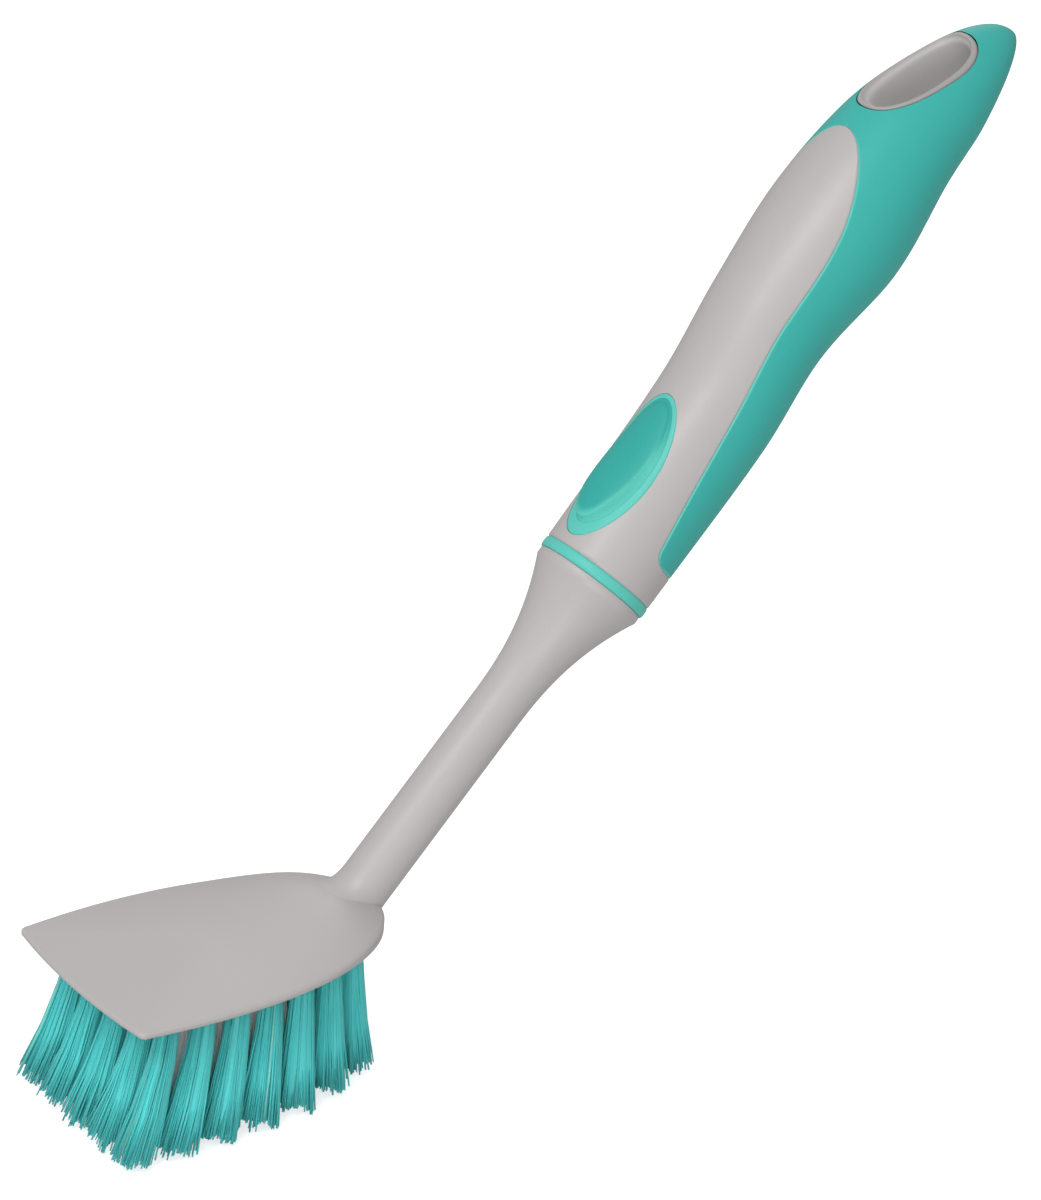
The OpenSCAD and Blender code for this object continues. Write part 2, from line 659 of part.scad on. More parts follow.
// One tuft: a plug in the block and its strands, as a single closed solid.
module tuft(t) {
    seed = 17 * t[0] + 5 * t[1];
    plug_top = tuft_hole - block_drop - staple_t - fit_gap;
    here = tuft_place(t);
    count = len(strand_roots);
    root_points = [for (p = disc) [p[0], p[1], -block_drop]];
    top_points = [
        for (k = [0:rim_count - 1]) [disc[rim_first + k][0], disc[rim_first + k][1], plug_top]
    ];
    strand_points = [
        for (n = [0:count - 1])
            let (
                root = strand_roots[n],
                uneven = ragged * (0.5 + 0.5 * scatter(seed + 7 * n)),
                drop = min(bristle_len, bristle_len + tip_cut - uneven)
            )
            for (k = [0, 1], c = [0:2])
                strand_point(t, root, root[c], strand_shares[k], strand_taper[k], drop)
    ];
    tops = len(disc);
    centre = tops + rim_count;
    first = centre + 1;
    points = concat(root_points, top_points, [[0, 0, plug_top]], strand_points);
    faces = concat(
        [
            for (n = [0:count - 1], c = [0:2])
                let (r = strand_roots[n], d = (c + 1) % 3, a = first + 6 * n)
                each concat(
                    patch(r[c], a + c, a + d, r[d], true),
                    patch(a + c, a + 3 + c, a + 3 + d, a + d, true)
                )
        ],
        [for (n = [0:count - 1]) let (a = first + 6 * n + 3) [a, a + 1, a + 2]],
        [for (f = flat_roots) f],
        [
            for (k = [0:rim_count - 1])
                let (q = (k + 1) % rim_count)
                each concat(
                    patch(rim_first + k, tops + k, tops + q, rim_first + q, false),
                    [[tops + k, centre, tops + q]]
                )
        ]
    );
    color(is_inner(t) ? soap_grey : soft_teal) on_head()
        translate([here[0], here[1], 0]) polyhedron(points, faces);
}

module slit_valve() {
    color("white") on_handle() difference() {
        translate([valve_x, 0, 0]) about_axis() polygon([
            [0, 0],
            [retainer_bore_d / 2 - 1, 0],
            [valve_d / 2, 0],
            [valve_d / 2, valve_t],
            [retainer_bore_d / 2 - 0.4, valve_t],
            [0, valve_t]
        ]);
        for (turn = [0, 90])
            rotate([turn, 0, 0]) translate([valve_x + valve_t / 2, 0, 0])
                cube([valve_t * 2, retainer_bore_d * 0.6, slit_w], center = true);
    }
}

module valve_retainer() {
    color(soap_grey) on_handle() difference() {
        disc_at(valve_x + valve_t, valve_d / 2, retainer_t);
        disc_at(valve_x, retainer_bore_d / 2, retainer_t + 2 * valve_t);
    }
}

module seal_ring() {
    color(light_teal) on_handle() about_axis() polygon([
        [spigot_d / 2 + fit_gap, rim_x],
        [ring_d / 2 - ring_bulge, rim_x],
        [ring_d / 2, rim_x + ring_w * 0.25],
        [ring_d / 2, mouth_x - ring_w * 0.25],
        [ring_d / 2 - ring_bulge, mouth_x],
        [spigot_d / 2 + fit_gap, mouth_x]
    ]);
}

module grip_core() {
    inner = [
        for (i = [0:last_row - 1], j = [0:cols - 1]) each surface_cell(i, j, layer_of(i, j))
    ];
    tip = [for (j = [0:cols - 1]) each tip_cell(j, 1)];
    mouth = [for (j = [1:cols - 2]) [at(0, 0, 0), at(0, j, 0), at(0, j + 1, 0)]];
    polyhedron(concat(surface_points, tip_points), concat(inner, tip, mouth, all_steps(false)));
}

module skin_shell() {
    cells = [
        for (i = [0:last_row - 1], j = [0:cols - 1])
            if (is_skin(i, j)) each concat(surface_cell(i, j, 0), surface_cell(i, j, 1, true))
    ];
    tips = [for (j = [0:cols - 1]) each concat(tip_cell(j, 0), tip_cell(j, 1, true))];
    polyhedron(concat(surface_points, tip_points), concat(cells, tips, all_steps(true)));
}

module through(outline, low, high) {
    translate([0, 0, low]) linear_extrude(high - low) polygon(outline);
}

module grip_body() {
    color(soap_grey) on_handle() union() {
        difference() {
            grip_core();
            disc_at(mouth_x - 1, mouth_bore_r, spigot_len + 1.4);
            rotate([0, -cavity_tilt, 0]) disc_at(spigot_end - 1, cavity_d / 2, cavity_x - spigot_end);
            frame_seat();
            through(web_oval, 0, palm_d);
            through(liner_oval, -palm_d, palm_d);
        }
        thread(
            mouth_bore_r + 0.2,
            mouth_bore_r - thread_depth,
            mouth_x + thread_pitch * 1.3,
            min(thread_turns, 1.25)
        );
    }
}

module grip_spine() {
    color(soft_teal) on_handle() difference() {
        skin_shell();
        through(liner_oval, -palm_d, palm_d);
    }
}

// A closed ring through loops of points that go round it.
module ring_of(loops) {
    polyhedron([for (l = loops) each l], loop_faces(len(loops), true));
}

module hang_liner() {
    color(soap_grey) on_handle() ring_of([
        [for (p = liner_oval) [p[0], p[1], under_grip(p[0], p[1])]],
        [for (p = liner_oval) [p[0], p[1], top_of_grip(p[0], p[1])]],
        [for (p = slot_oval) [p[0], p[1], top_of_grip(p[0], p[1]) - liner_bevel]],
        [for (p = slot_oval) [p[0], p[1], under_grip(p[0], p[1]) + liner_bevel]]
    ]);
}

// A closed solid through loops of points, with a point in the middle of each end.
module lens_of(loops, first_mid, last_mid) {
    n = ring_sides;
    count = len(loops);
    polyhedron(concat([for (l = loops) each l], [first_mid, last_mid]), concat(
        loop_faces(count, false),
        [for (k = [0:n - 1]) [k, (k + 1) % n, count * n]],
        [
            for (k = [0:n - 1])
                let (a = (count - 1) * n)
                [a + (k + 1) % n, a + k, count * n + 1]
        ]
    ));
}

module frame_seat() {
    lens_of(
        [on_top(web_oval, -frame_depth), on_top(frame_oval, -frame_depth), on_top(frame_oval, palm_d)],
        [pad_x, 0, top_of_grip(pad_x, 0) - frame_depth],
        [pad_x, 0, top_of_grip(pad_x, 0) + palm_d]
    );
}

module button_frame() {
    color(light_teal) on_handle() ring_of([
        on_top(frame_oval, -frame_depth),
        on_top(frame_oval, 0),
        on_top(web_oval, 0),
        on_top(web_oval, -frame_depth)
    ]);
}

module button_web() {
    color(light_teal) on_handle()
        ring_of([on_top(web_oval, -web_t), on_top(web_oval, 0), pad_loop(0), pad_loop(-web_t)]);
}

module button_pad() {
    color(soft_teal) on_handle() lens_of(
        concat(
            [pad_loop(-pad_t)],
            [for (share = [1, 0.86, 0.6, 0.3]) pad_loop(pad_crown * (1 - share * share), share)]
        ),
        [pad_x, 0, top_of_grip(pad_x, 0) + pad_height(pad_x) - pad_t],
        [pad_x, 0, top_of_grip(pad_x, 0) + pad_height(pad_x) + pad_crown]
    );
}

head_moulding();
bristle_block();
outlet_nozzle();
tuft_staples();
slit_valve();
valve_retainer();
seal_ring();
grip_body();
grip_spine();
hang_liner();
button_frame();
button_web();
button_pad();
for (n = [0:len(tufts) - 1])
    tuft(tufts[n]);
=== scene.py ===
import math
import bmesh
import bpy
import numpy as np
from mathutils import Matrix, Vector


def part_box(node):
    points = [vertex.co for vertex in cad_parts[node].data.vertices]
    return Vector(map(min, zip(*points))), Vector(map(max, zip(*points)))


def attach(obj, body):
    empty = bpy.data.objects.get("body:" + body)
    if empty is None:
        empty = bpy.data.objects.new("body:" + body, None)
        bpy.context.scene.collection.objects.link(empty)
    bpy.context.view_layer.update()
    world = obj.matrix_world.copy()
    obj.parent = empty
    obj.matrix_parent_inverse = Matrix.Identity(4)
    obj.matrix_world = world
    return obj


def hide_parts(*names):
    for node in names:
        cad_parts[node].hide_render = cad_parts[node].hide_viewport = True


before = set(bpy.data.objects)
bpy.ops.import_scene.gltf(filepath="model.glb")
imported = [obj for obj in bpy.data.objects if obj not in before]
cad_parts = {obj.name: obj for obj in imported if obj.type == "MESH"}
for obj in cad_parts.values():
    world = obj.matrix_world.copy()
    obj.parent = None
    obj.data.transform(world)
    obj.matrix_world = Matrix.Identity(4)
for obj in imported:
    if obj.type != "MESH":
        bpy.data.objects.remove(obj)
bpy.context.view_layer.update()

# Dish wand: every size is in millimetres here and becomes metres when a mesh is made.
mm = 0.001
headAngle = math.radians(48)
neckLength = 86.8
ringLow, ringHigh = (np.array(corner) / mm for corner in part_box("seal_ring"))
ringCentre = (ringLow + ringHigh) / 2  # the seal ring is symmetric, so its box gives the joint's middle
shaftWay = np.array([math.cos(headAngle), 0, math.sin(headAngle)])
acrossWay = np.array([0, 1, 0])
thumbWay = np.array([-math.sin(headAngle), 0, math.cos(headAngle)])
headFoot = ringCentre - neckLength * shaftWay  # where the shaft's axis meets the plate's underside


def fromHandle(points):
    # handle frame: x along the neck from the ring, y across, z to the thumb
    points = np.asarray(points, float)
    return (ringCentre + points[..., :1] * shaftWay + points[..., 1:2] * acrossWay
            + points[..., 2:] * thumbWay)


def fromHead(points):
    # head frame: x from the scraping edge to the handle, z up from the plate's underside
    return headFoot + np.asarray(points, float)


# Materials

def newGroup(name, inputs, outputs):
    # a node group; an input is a name, a kind and a value, an output a name and a kind
    group = bpy.data.node_groups.new(name, "ShaderNodeTree")
    for label, kind, value in inputs:
        socket = group.interface.new_socket(name=label, in_out="INPUT", socket_type=kind)
        if value is not None:
            socket.default_value = value
    for label, kind in outputs:
        group.interface.new_socket(name=label, in_out="OUTPUT", socket_type=kind)
    return group, group.nodes.new("NodeGroupInput"), group.nodes.new("NodeGroupOutput")


def link(tree, a, b):
    # from the output a to the input b
    tree.links.new(a, b)


def calculate(tree, operation, *values):
    # a maths node whose inputs are sockets to link or plain numbers
    node = tree.nodes.new("ShaderNodeMath")
    node.operation = operation
    for socket, value in zip(node.inputs, values):
        if isinstance(value, bpy.types.NodeSocket):
            link(tree, value, socket)
        else:
            socket.default_value = value
    return node.outputs[0]


def readAttribute(tree, name):
    # a value that every point of the mesh carries
    node = tree.nodes.new("ShaderNodeAttribute")
    node.attribute_name = name
    return node.outputs["Fac"]


def mixColours(tree, share, a, b):
    # colour a where the share is 0 and b where it is 1; each is a socket or a plain colour
    node = tree.nodes.new("ShaderNodeMix")
    node.data_type = "RGBA"
    link(tree, share, node.inputs["Factor"])
    for label, value in (("A", a), ("B", b)):
        if isinstance(value, bpy.types.NodeSocket):
            link(tree, value, node.inputs[label])
        else:
            node.inputs[label].default_value = value
    return node.outputs["Result"]


def brighten(tree, colour, factor):
    # the colour with its brightness times the factor
    node = tree.nodes.new("ShaderNodeHueSaturation")
    link(tree, colour, node.inputs["Color"])
    link(tree, factor, node.inputs["Value"])
    return node.outputs["Color"]


def makeMouldedSurface():
    # slow drift of the colour, a faint orange peel and a little dust in the roughness
    group, entry, leave = newGroup(
        "mouldedSurface",
        [("Colour", "NodeSocketColor", None), ("Drift", "NodeSocketFloat", 0.04),
         ("Gloss", "NodeSocketFloat", 0.4), ("Gloss drift", "NodeSocketFloat", 0.08),
         ("Grain size", "NodeSocketFloat", 900.0)],
        [("Colour", "NodeSocketColor"), ("Roughness", "NodeSocketFloat"), ("Height", "NodeSocketFloat")])
    nodes = group.nodes
    coords = nodes.new("ShaderNodeTexCoord")
    # the slow noise changes over about 36 mm, the fine one over about 1 mm
    slow = nodes.new("ShaderNodeTexNoise")
    slow.inputs["Scale"].default_value = 28
    slow.inputs["Detail"].default_value = 3
    fine = nodes.new("ShaderNodeTexNoise")
    fine.inputs["Detail"].default_value = 2
    link(group, coords.outputs["Object"], slow.inputs["Vector"])
    link(group, coords.outputs["Object"], fine.inputs["Vector"])
    link(group, entry.outputs["Grain size"], fine.inputs["Scale"])
    centred = calculate(group, "SUBTRACT", slow.outputs["Fac"], 0.5)
    bright = calculate(group, "MULTIPLY_ADD", centred, entry.outputs["Drift"], 1)
    rough = calculate(group, "MULTIPLY_ADD", centred, entry.outputs["Gloss drift"], entry.outputs["Gloss"])
    link(group, brighten(group, entry.outputs["Colour"], bright), leave.inputs["Colour"])
    link(group, rough, leave.inputs["Roughness"])
    link(group, fine.outputs["Fac"], leave.inputs["Height"])
    return group


def makeStrandTone():
    # each strand has its own tone, and the tone changes slowly along it
    group, entry, leave = newGroup(
        "strandTone",
        [("Root colour", "NodeSocketColor", None), ("Tip colour", "NodeSocketColor", None),
         ("Spread", "NodeSocketFloat", 0.3)],
        [("Colour", "NodeSocketColor"), ("Roughness", "NodeSocketFloat")])
    tone = readAttribute(group, "strandTone")
    along = readAttribute(group, "strandShare")
    colour = mixColours(group, along, entry.outputs["Root colour"], entry.outputs["Tip colour"])
    # nine strands in a thousand are worn pale
    worn = calculate(group, "GREATER_THAN", tone, 0.991)
    colour = mixColours(group, worn, colour, linear(168, 232, 220))
    centred = calculate(group, "SUBTRACT", tone, 0.5)
    bright = calculate(group, "MULTIPLY_ADD", centred, entry.outputs["Spread"], 1)
    link(group, brighten(group, colour, bright), leave.inputs["Colour"])
    link(group, calculate(group, "MULTIPLY_ADD", tone, 0.2, 0.36), leave.inputs["Roughness"])
    return group


def linear(r, g, b):
    # screen values from 0 to 255 as linear light
    c = np.array([r, g, b]) / 255
    c = np.where(c <= 0.04045, c / 12.92, ((c + 0.055) / 1.055) ** 2.4)
    return (*c.tolist(), 1)


mouldedSurface = makeMouldedSurface()
strandToneGroup = makeStrandTone()


def newMaterial(name):
    # a material with its node tree and its Principled node
    material = bpy.data.materials.new(name)
    material.use_nodes = True
    return material, material.node_tree, material.node_tree.nodes["Principled BSDF"]


def mouldedMaterial(name, colour, drift=0.04, gloss=0.4, glossDrift=0.08, grain=900, bump=0.02, **shader):
    # a moulded surface; what is named in shader is set on the Principled node's own sockets
    material, tree, bsdf = newMaterial(name)
    effect = tree.nodes.new("ShaderNodeGroup")
    effect.node_tree = mouldedSurface
    effect.inputs["Colour"].default_value = linear(*colour)
    effect.inputs["Drift"].default_value = drift
    effect.inputs["Gloss"].default_value = gloss
    effect.inputs["Gloss drift"].default_value = glossDrift
    effect.inputs["Grain size"].default_value = grain
    relief = tree.nodes.new("ShaderNodeBump")
    relief.inputs["Strength"].default_value = bump
    relief.inputs["Distance"].default_value = 0.0002
    link(tree, effect.outputs["Colour"], bsdf.inputs["Base Color"])
    link(tree, effect.outputs["Roughness"], bsdf.inputs["Roughness"])
    link(tree, effect.outputs["Height"], relief.inputs["Height"])
    link(tree, relief.outputs["Normal"], bsdf.inputs["Normal"])
    for socket, value in shader.items():
        bsdf.inputs[socket.replace("_", " ")].default_value = value
    return material


def strandMaterial(name, root, tip, spread=0.3):
    # from the colour at the root to the one at the tip; the spread sets how far strands differ
    material, tree, bsdf = newMaterial(name)
    effect = tree.nodes.new("ShaderNodeGroup")
    effect.node_tree = strandToneGroup
    effect.inputs["Root colour"].default_value = linear(*root)
    effect.inputs["Tip colour"].default_value = linear(*tip)
    effect.inputs["Spread"].default_value = spread
    link(tree, effect.outputs["Colour"], bsdf.inputs["Base Color"])
    link(tree, effect.outputs["Roughness"], bsdf.inputs["Roughness"])
    bsdf.inputs["Specular IOR Level"].default_value = 0.4
    return material


def paleMarkAndPaintedLight(material, attribute, colour):
    # the finish turns paler by a value at each point: along the skin's lip, as painted light on the hang
    # slot's channel wall, and as the button's pale band with its painted highlight
    tree = material.node_tree
    effect = next(node for node in tree.nodes if node.type == "GROUP")
    base = effect.inputs["Colour"].default_value[:]
    share = readAttribute(tree, attribute)
    link(tree, mixColours(tree, share, base, linear(*colour)), effect.inputs["Colour"])
    return material


softTouch = {"drift": 0.06, "gloss": 0.5, "grain": 1400, "bump": 0.1, "Specular_IOR_Level": 0.25}
lightRubber = {"drift": 0.05, "gloss": 0.45, "grain": 1400, "bump": 0.08, "Specular_IOR_Level": 0.3}
teal, lightTeal = (64, 184, 175), (96, 206, 192)
finishes = {
    "greyPlastic": mouldedMaterial("greyPlastic", (190, 186, 185), drift=0.05, gloss=0.42, bump=0.05),
    "sleevePlastic": mouldedMaterial("sleevePlastic", (172, 168, 168), drift=0.05, gloss=0.45, bump=0.05),
    "tealRubber": mouldedMaterial("tealRubber", teal, **softTouch),
    "spineRubber": mouldedMaterial("spineRubber", teal, **softTouch),
    "lightTealRubber": mouldedMaterial("lightTealRubber", lightTeal, **lightRubber),
    "padRubber": mouldedMaterial("padRubber", (54, 174, 165), **softTouch),
    "clearSilicone": mouldedMaterial("clearSilicone", (222, 224, 222), drift=0.02, gloss=0.35, bump=0.03),
    "stapleSteel": mouldedMaterial("stapleSteel", (190, 192, 196), 0.1, gloss=0.3, bump=0.04, Metallic=1),
    "tealBristles": strandMaterial("tealBristles", (83, 213, 211), (101, 232, 231), 0.16),
    "greyBristles": strandMaterial("greyBristles", (246, 240, 240), (246, 240, 240), 0.12),
}
# painted light: the hang slot's channel wall is painted paler to lift the shade inside the slot
paleMarkAndPaintedLight(finishes["sleevePlastic"], "channel", (205, 202, 202))
paleMarkAndPaintedLight(finishes["spineRubber"], "seamPale", (104, 208, 194))
# the button's pale band: partly the frame's own lighter teal, partly a painted highlight that fades towards
# the tail
paleMarkAndPaintedLight(finishes["padRubber"], "padRimTealAndHighlight", lightTeal)
print("materials ready")


# Helpers for meshes

def gridFaces(rows, cols, closed=False, start=0, flip=False):
    # four-sided faces between neighbouring rows and columns
    i, j = np.meshgrid(np.arange(rows - 1), np.arange(cols if closed else cols - 1), indexing="ij")
    a = start + i * cols + j
    b = start + i * cols + (j + 1) % cols
    faces = np.stack([a, b, b + cols, a + cols], -1).reshape(-1, 4)
    return faces[:, ::-1] if flip else faces


def addPiece(name, points, faces, finish, body, replaces=(), weld=0.003, attributes=None):
    # a smooth mesh in metres from points in mm, with its finish, its body and the nodes it replaces
    mesh = bpy.data.meshes.new(name)
    points = np.asarray(points, float).reshape(-1, 3) * mm
    faces = np.asarray(faces)
    sides = faces.shape[1]
    mesh.vertices.add(len(points))
    mesh.vertices.foreach_set("co", points.ravel())
    mesh.loops.add(faces.size)
    mesh.loops.foreach_set("vertex_index", faces.ravel().astype(np.int32))
    mesh.polygons.add(len(faces))
    mesh.polygons.foreach_set("loop_start", np.arange(0, faces.size, sides, dtype=np.int32))
    mesh.update(calc_edges=True)
    for label, values in (attributes or {}).items():
        layer = mesh.attributes.new(label, "FLOAT", "POINT")
        layer.data.foreach_set("value", np.asarray(values, np.float32).ravel())
    if weld:
        work = bmesh.new()
        work.from_mesh(mesh)
        bmesh.ops.remove_doubles(work, verts=work.verts, dist=weld * mm)
        bmesh.ops.dissolve_degenerate(work, edges=work.edges, dist=weld * mm)
        work.to_mesh(mesh)
        work.free()
    mesh.polygons.foreach_set("use_smooth", np.ones(len(mesh.polygons), bool))
    mesh.materials.append(finishes[finish])
    mesh.update()
    piece = bpy.data.objects.new(name, mesh)
    bpy.context.scene.collection.objects.link(piece)
    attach(piece, body)
    if replaces:
        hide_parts(*replaces)
    return piece


def smoothStep(t):
    # a soft step from 0 to 1: three times the square less twice the cube
    t = np.clip(t, 0, 1)
    return t * t * (3 - 2 * t)


def crowdEnds(count, power=0.75):
    # 0 to 1 with the steps crowded at both ends: a straight ramp mixed with half a cosine wave
    t = np.linspace(0, 1, count)
    return (1 - power) * t + power * (0.5 - 0.5 * np.cos(np.pi * t))


# Grip

grip = {
    # distance from the ring, diameter, lift to the thumb
    "stations": [(1.2, 25.8, 0), (42, 26.8, 1.1), (64.5, 27.7, 4.5), (88, 31.8, 4.5),
                 (110, 27.6, 5.3), (125, 22.4, 3.2), (145.6, 0, -2.6)],
    "skinStart": 9.0, "tongueEnd": 104.8, "fingers": 64.5, "mouthAngle": 86, "fingerAngle": 61,
    "cornerAngle": 15, "cornerLength": 2.6,
    "seamDepth": 0.22, "seamWidth": 0.5, "seamWall": 1.4, "paleWidth": 0.5,
    "mouthX": 1.2, "mouthRound": 0.35, "mouthRoundLength": 0.5, "cutWall": 1.6,
    # distance from the ring and radius: the threaded mouth, then the reservoir
    "bore": [(1.2, 10.7), (1.5, 10.3), (2.0, 10.2), (10.6, 10.2), (10.8, 9.3), (60, 9.3), (60, 0)],
}
tipX = grip["stations"][-1][0]
farFromSeam = 9.0
stationTable = np.array([(math.sqrt(tipX - x), d / 2, lift) for x, d, lift in grip["stations"]])


def alongGrip(x, column):
    # a cubic between neighbouring stations, over the root of the distance to the tip
    x = np.asarray(x, float)
    w = np.sqrt(np.maximum(tipX - x, 0))
    table = stationTable
    last = len(table) - 1
    k = np.clip(np.searchsorted(-table[:, 0], -w, side="right") - 1, 0, last - 1)
    before = np.maximum(np.arange(last + 1) - 1, 0)
    after = np.minimum(np.arange(last + 1) + 1, last)
    slope = (table[after, column] - table[before, column]) / (table[after, 0] - table[before, 0])
    h = table[k + 1, 0] - table[k, 0]
    t = (w - table[k, 0]) / h
    return (table[k, column] * (1 + 2 * t) * (1 - t) ** 2 + table[k + 1, column] * t * t * (3 - 2 * t)
            + h * slope[k] * t * (1 - t) ** 2 - h * slope[k + 1] * t * t * (1 - t))


def gripRadius(x):
    # half the diameter between the stations
    return alongGrip(x, 1)


def gripLift(x):
    # how far the middle of the grip lies towards the thumb
    return alongGrip(x, 2)


def thumbSide(x, y):
    # the grip's surface over a point: the lift plus the root of the radius squared less y squared
    return gripLift(x) + np.sqrt(np.maximum(gripRadius(x) ** 2 - y * y, 0))


def fingerSide(x, y):
    # the surface on the other side: the lift less the same root
    return gripLift(x) - np.sqrt(np.maximum(gripRadius(x) ** 2 - y * y, 0))


def halfTongue(x):
    # half the arc of the hard tongue in degrees: wide at the mouth, then a half ellipse to its end,
    # and a rounded corner where the skin starts
    x = np.asarray(x, float)
    start, fingers = grip["skinStart"], grip["fingers"]
    forward = (x - start) / (fingers - start)
    rearward = (x - fingers) / (grip["tongueEnd"] - fingers)
    front = grip["fingerAngle"] + (grip["mouthAngle"] - grip["fingerAngle"]) * (1 - forward) ** 2
    rear = grip["fingerAngle"] * np.sqrt(np.maximum(1 - rearward ** 2, 0))
    t = np.clip((start + grip["cornerLength"] - x) / grip["cornerLength"], 0, 1)
    corner = grip["cornerAngle"] * (1 - np.sqrt(1 - t * t))
    return np.where(x < fingers, front, rear) + corner


def gripPoints(x, angle, depth=0):
    # a circle of the grip's radius round its lifted middle, angle 0 at the thumb
    r = gripRadius(x) - depth
    return np.stack([x + 0 * angle, -r * np.sin(angle), gripLift(x) + r * np.cos(angle)], -1)


def ovalShare(x, y, cx, length, width, power=2.0):
    # 1 on the outline, less inside: both distances to the power, added, and the root of that power
    return (np.abs((x - cx) / (length / 2)) ** power + np.abs(y / (width / 2)) ** power) ** (1 / power)


def ovalPoints(cx, length, width, count, power=2.0):
    # a superellipse: the sine and cosine to the power of 2 over its own power
    a = np.linspace(0, 2 * np.pi, count, endpoint=False)
    c, s = np.cos(a), np.sin(a)
    x = cx + length / 2 * np.sign(c) * np.abs(c) ** (2 / power)
    return x, width / 2 * np.sign(s) * np.abs(s) ** (2 / power)


def cutOval(points, faces, cx, length, width, power, thumbOnly=False):
    # points inside the oval move out onto it, the faces between them go, and a wall goes down from the cut
    count = 240
    x, y = points[:, 0], points[:, 1]
    onThumb = points[:, 2] > gripLift(x)
    share = ovalShare(x, y, cx, length, width, power)
    inside = (share < 1) & (onThumb if thumbOnly else True)
    scale = 1 / np.maximum(share, 1e-3)
    newX = np.where(inside, cx + (x - cx) * scale, x)
    newY = np.where(inside, y * scale, y)
    newZ = np.where(onThumb, thumbSide(newX, newY), fingerSide(newX, newY))
    moved = np.stack([newX, newY, np.where(inside, newZ, points[:, 2])], -1)
    kept = faces[~inside[faces].all(1)]
    ox, oy = ovalPoints(cx, length, width, count, power)
    walls, wallFaces, start = [], [], len(moved)
    for side in ([1] if thumbOnly else [1, -1]):
        surface = thumbSide(ox, oy) if side > 0 else fingerSide(ox, oy)
        loops = np.stack([np.stack([ox, oy, surface - side * d], -1) for d in (0, grip["cutWall"])])
        walls.append(loops.reshape(-1, 3))
        wallFaces.append(gridFaces(2, count, closed=True, start=start, flip=side < 0))
        start += 2 * count
    return np.concatenate([moved] + walls), np.concatenate([kept] + wallFaces)


def seamDip(edge):
    # how far a surface dips at a distance from its seam
    return grip["seamDepth"] * (1 - smoothStep(edge / grip["seamWidth"])) ** 2


def mouthDip(x):
    # a small round at the mouth
    return grip["mouthRound"] * (1 - np.clip((x - grip["mouthX"]) / grip["mouthRoundLength"], 0, 1)) ** 2


def makeSpine():
    # rows along the grip and columns round it from one seam to the other; the edges dip into the seam
    start, end = grip["skinStart"], grip["tongueEnd"]
    front = start + (end - start) * crowdEnds(210, 0.9)
    tail = tipX - (math.sqrt(tipX - end) * (1 - np.linspace(0, 1, 110)[1:])) ** 2
    x = np.concatenate([front[:1], front, tail])[:, None]
    h = np.radians(np.where(x < end, halfTongue(np.minimum(x, end)), 0))
    share = np.concatenate([[0], crowdEnds(181, 0.7), [1]])[None, :]
    angle = h + (2 * np.pi - 2 * h) * share
    arc = np.minimum(angle - h, 2 * np.pi - h - angle) * gripRadius(x)
    edge = np.where(x < end + 0.01, np.minimum(arc, x - start), farFromSeam)
    dip = seamDip(edge)
    # the first row and the outer columns go down as a wall under the seam
    beside = x <= end
    dip[0] = grip["seamWall"]
    dip[:, [0, -1]] = np.where(beside, grip["seamWall"], 0)
    surface = gripPoints(x, angle, dip)
    cutLength, cutWidth = (hangSlot[side] + 2 * hangSlot["gap"] for side in ("length", "width"))
    points, faces = cutOval(surface.reshape(-1, 3), gridFaces(*surface.shape[:2]), hangSlot["x"],
                            cutLength, cutWidth, hangSlot["power"])
    # the skin is paler along its lip
    pale = 1 - smoothStep((edge - 0.1) / grip["paleWidth"])
    pale = np.where(beside & (edge < farFromSeam), pale, 0) + 0 * surface[..., 0]
    pale = np.concatenate([pale.ravel(), np.zeros(len(points) - pale.size)])
    addPiece("gripSpine", fromHandle(points), faces, "spineRubber", "grip", ["grip_spine"],
             attributes={"seamPale": pale})


def turned(profile, count=128, flip=False, start=0):
    # a profile of (distance, radius) turned round the neck's axis
    profile = np.asarray(profile, float)
    a = np.linspace(0, 2 * np.pi, count, endpoint=False)[None, :]
    points = np.stack([profile[:, :1] + 0 * a, -profile[:, 1:] * np.sin(a), profile[:, 1:] * np.cos(a)], -1)
    return points.reshape(-1, 3), gridFaces(len(profile), count, closed=True, start=start, flip=flip)


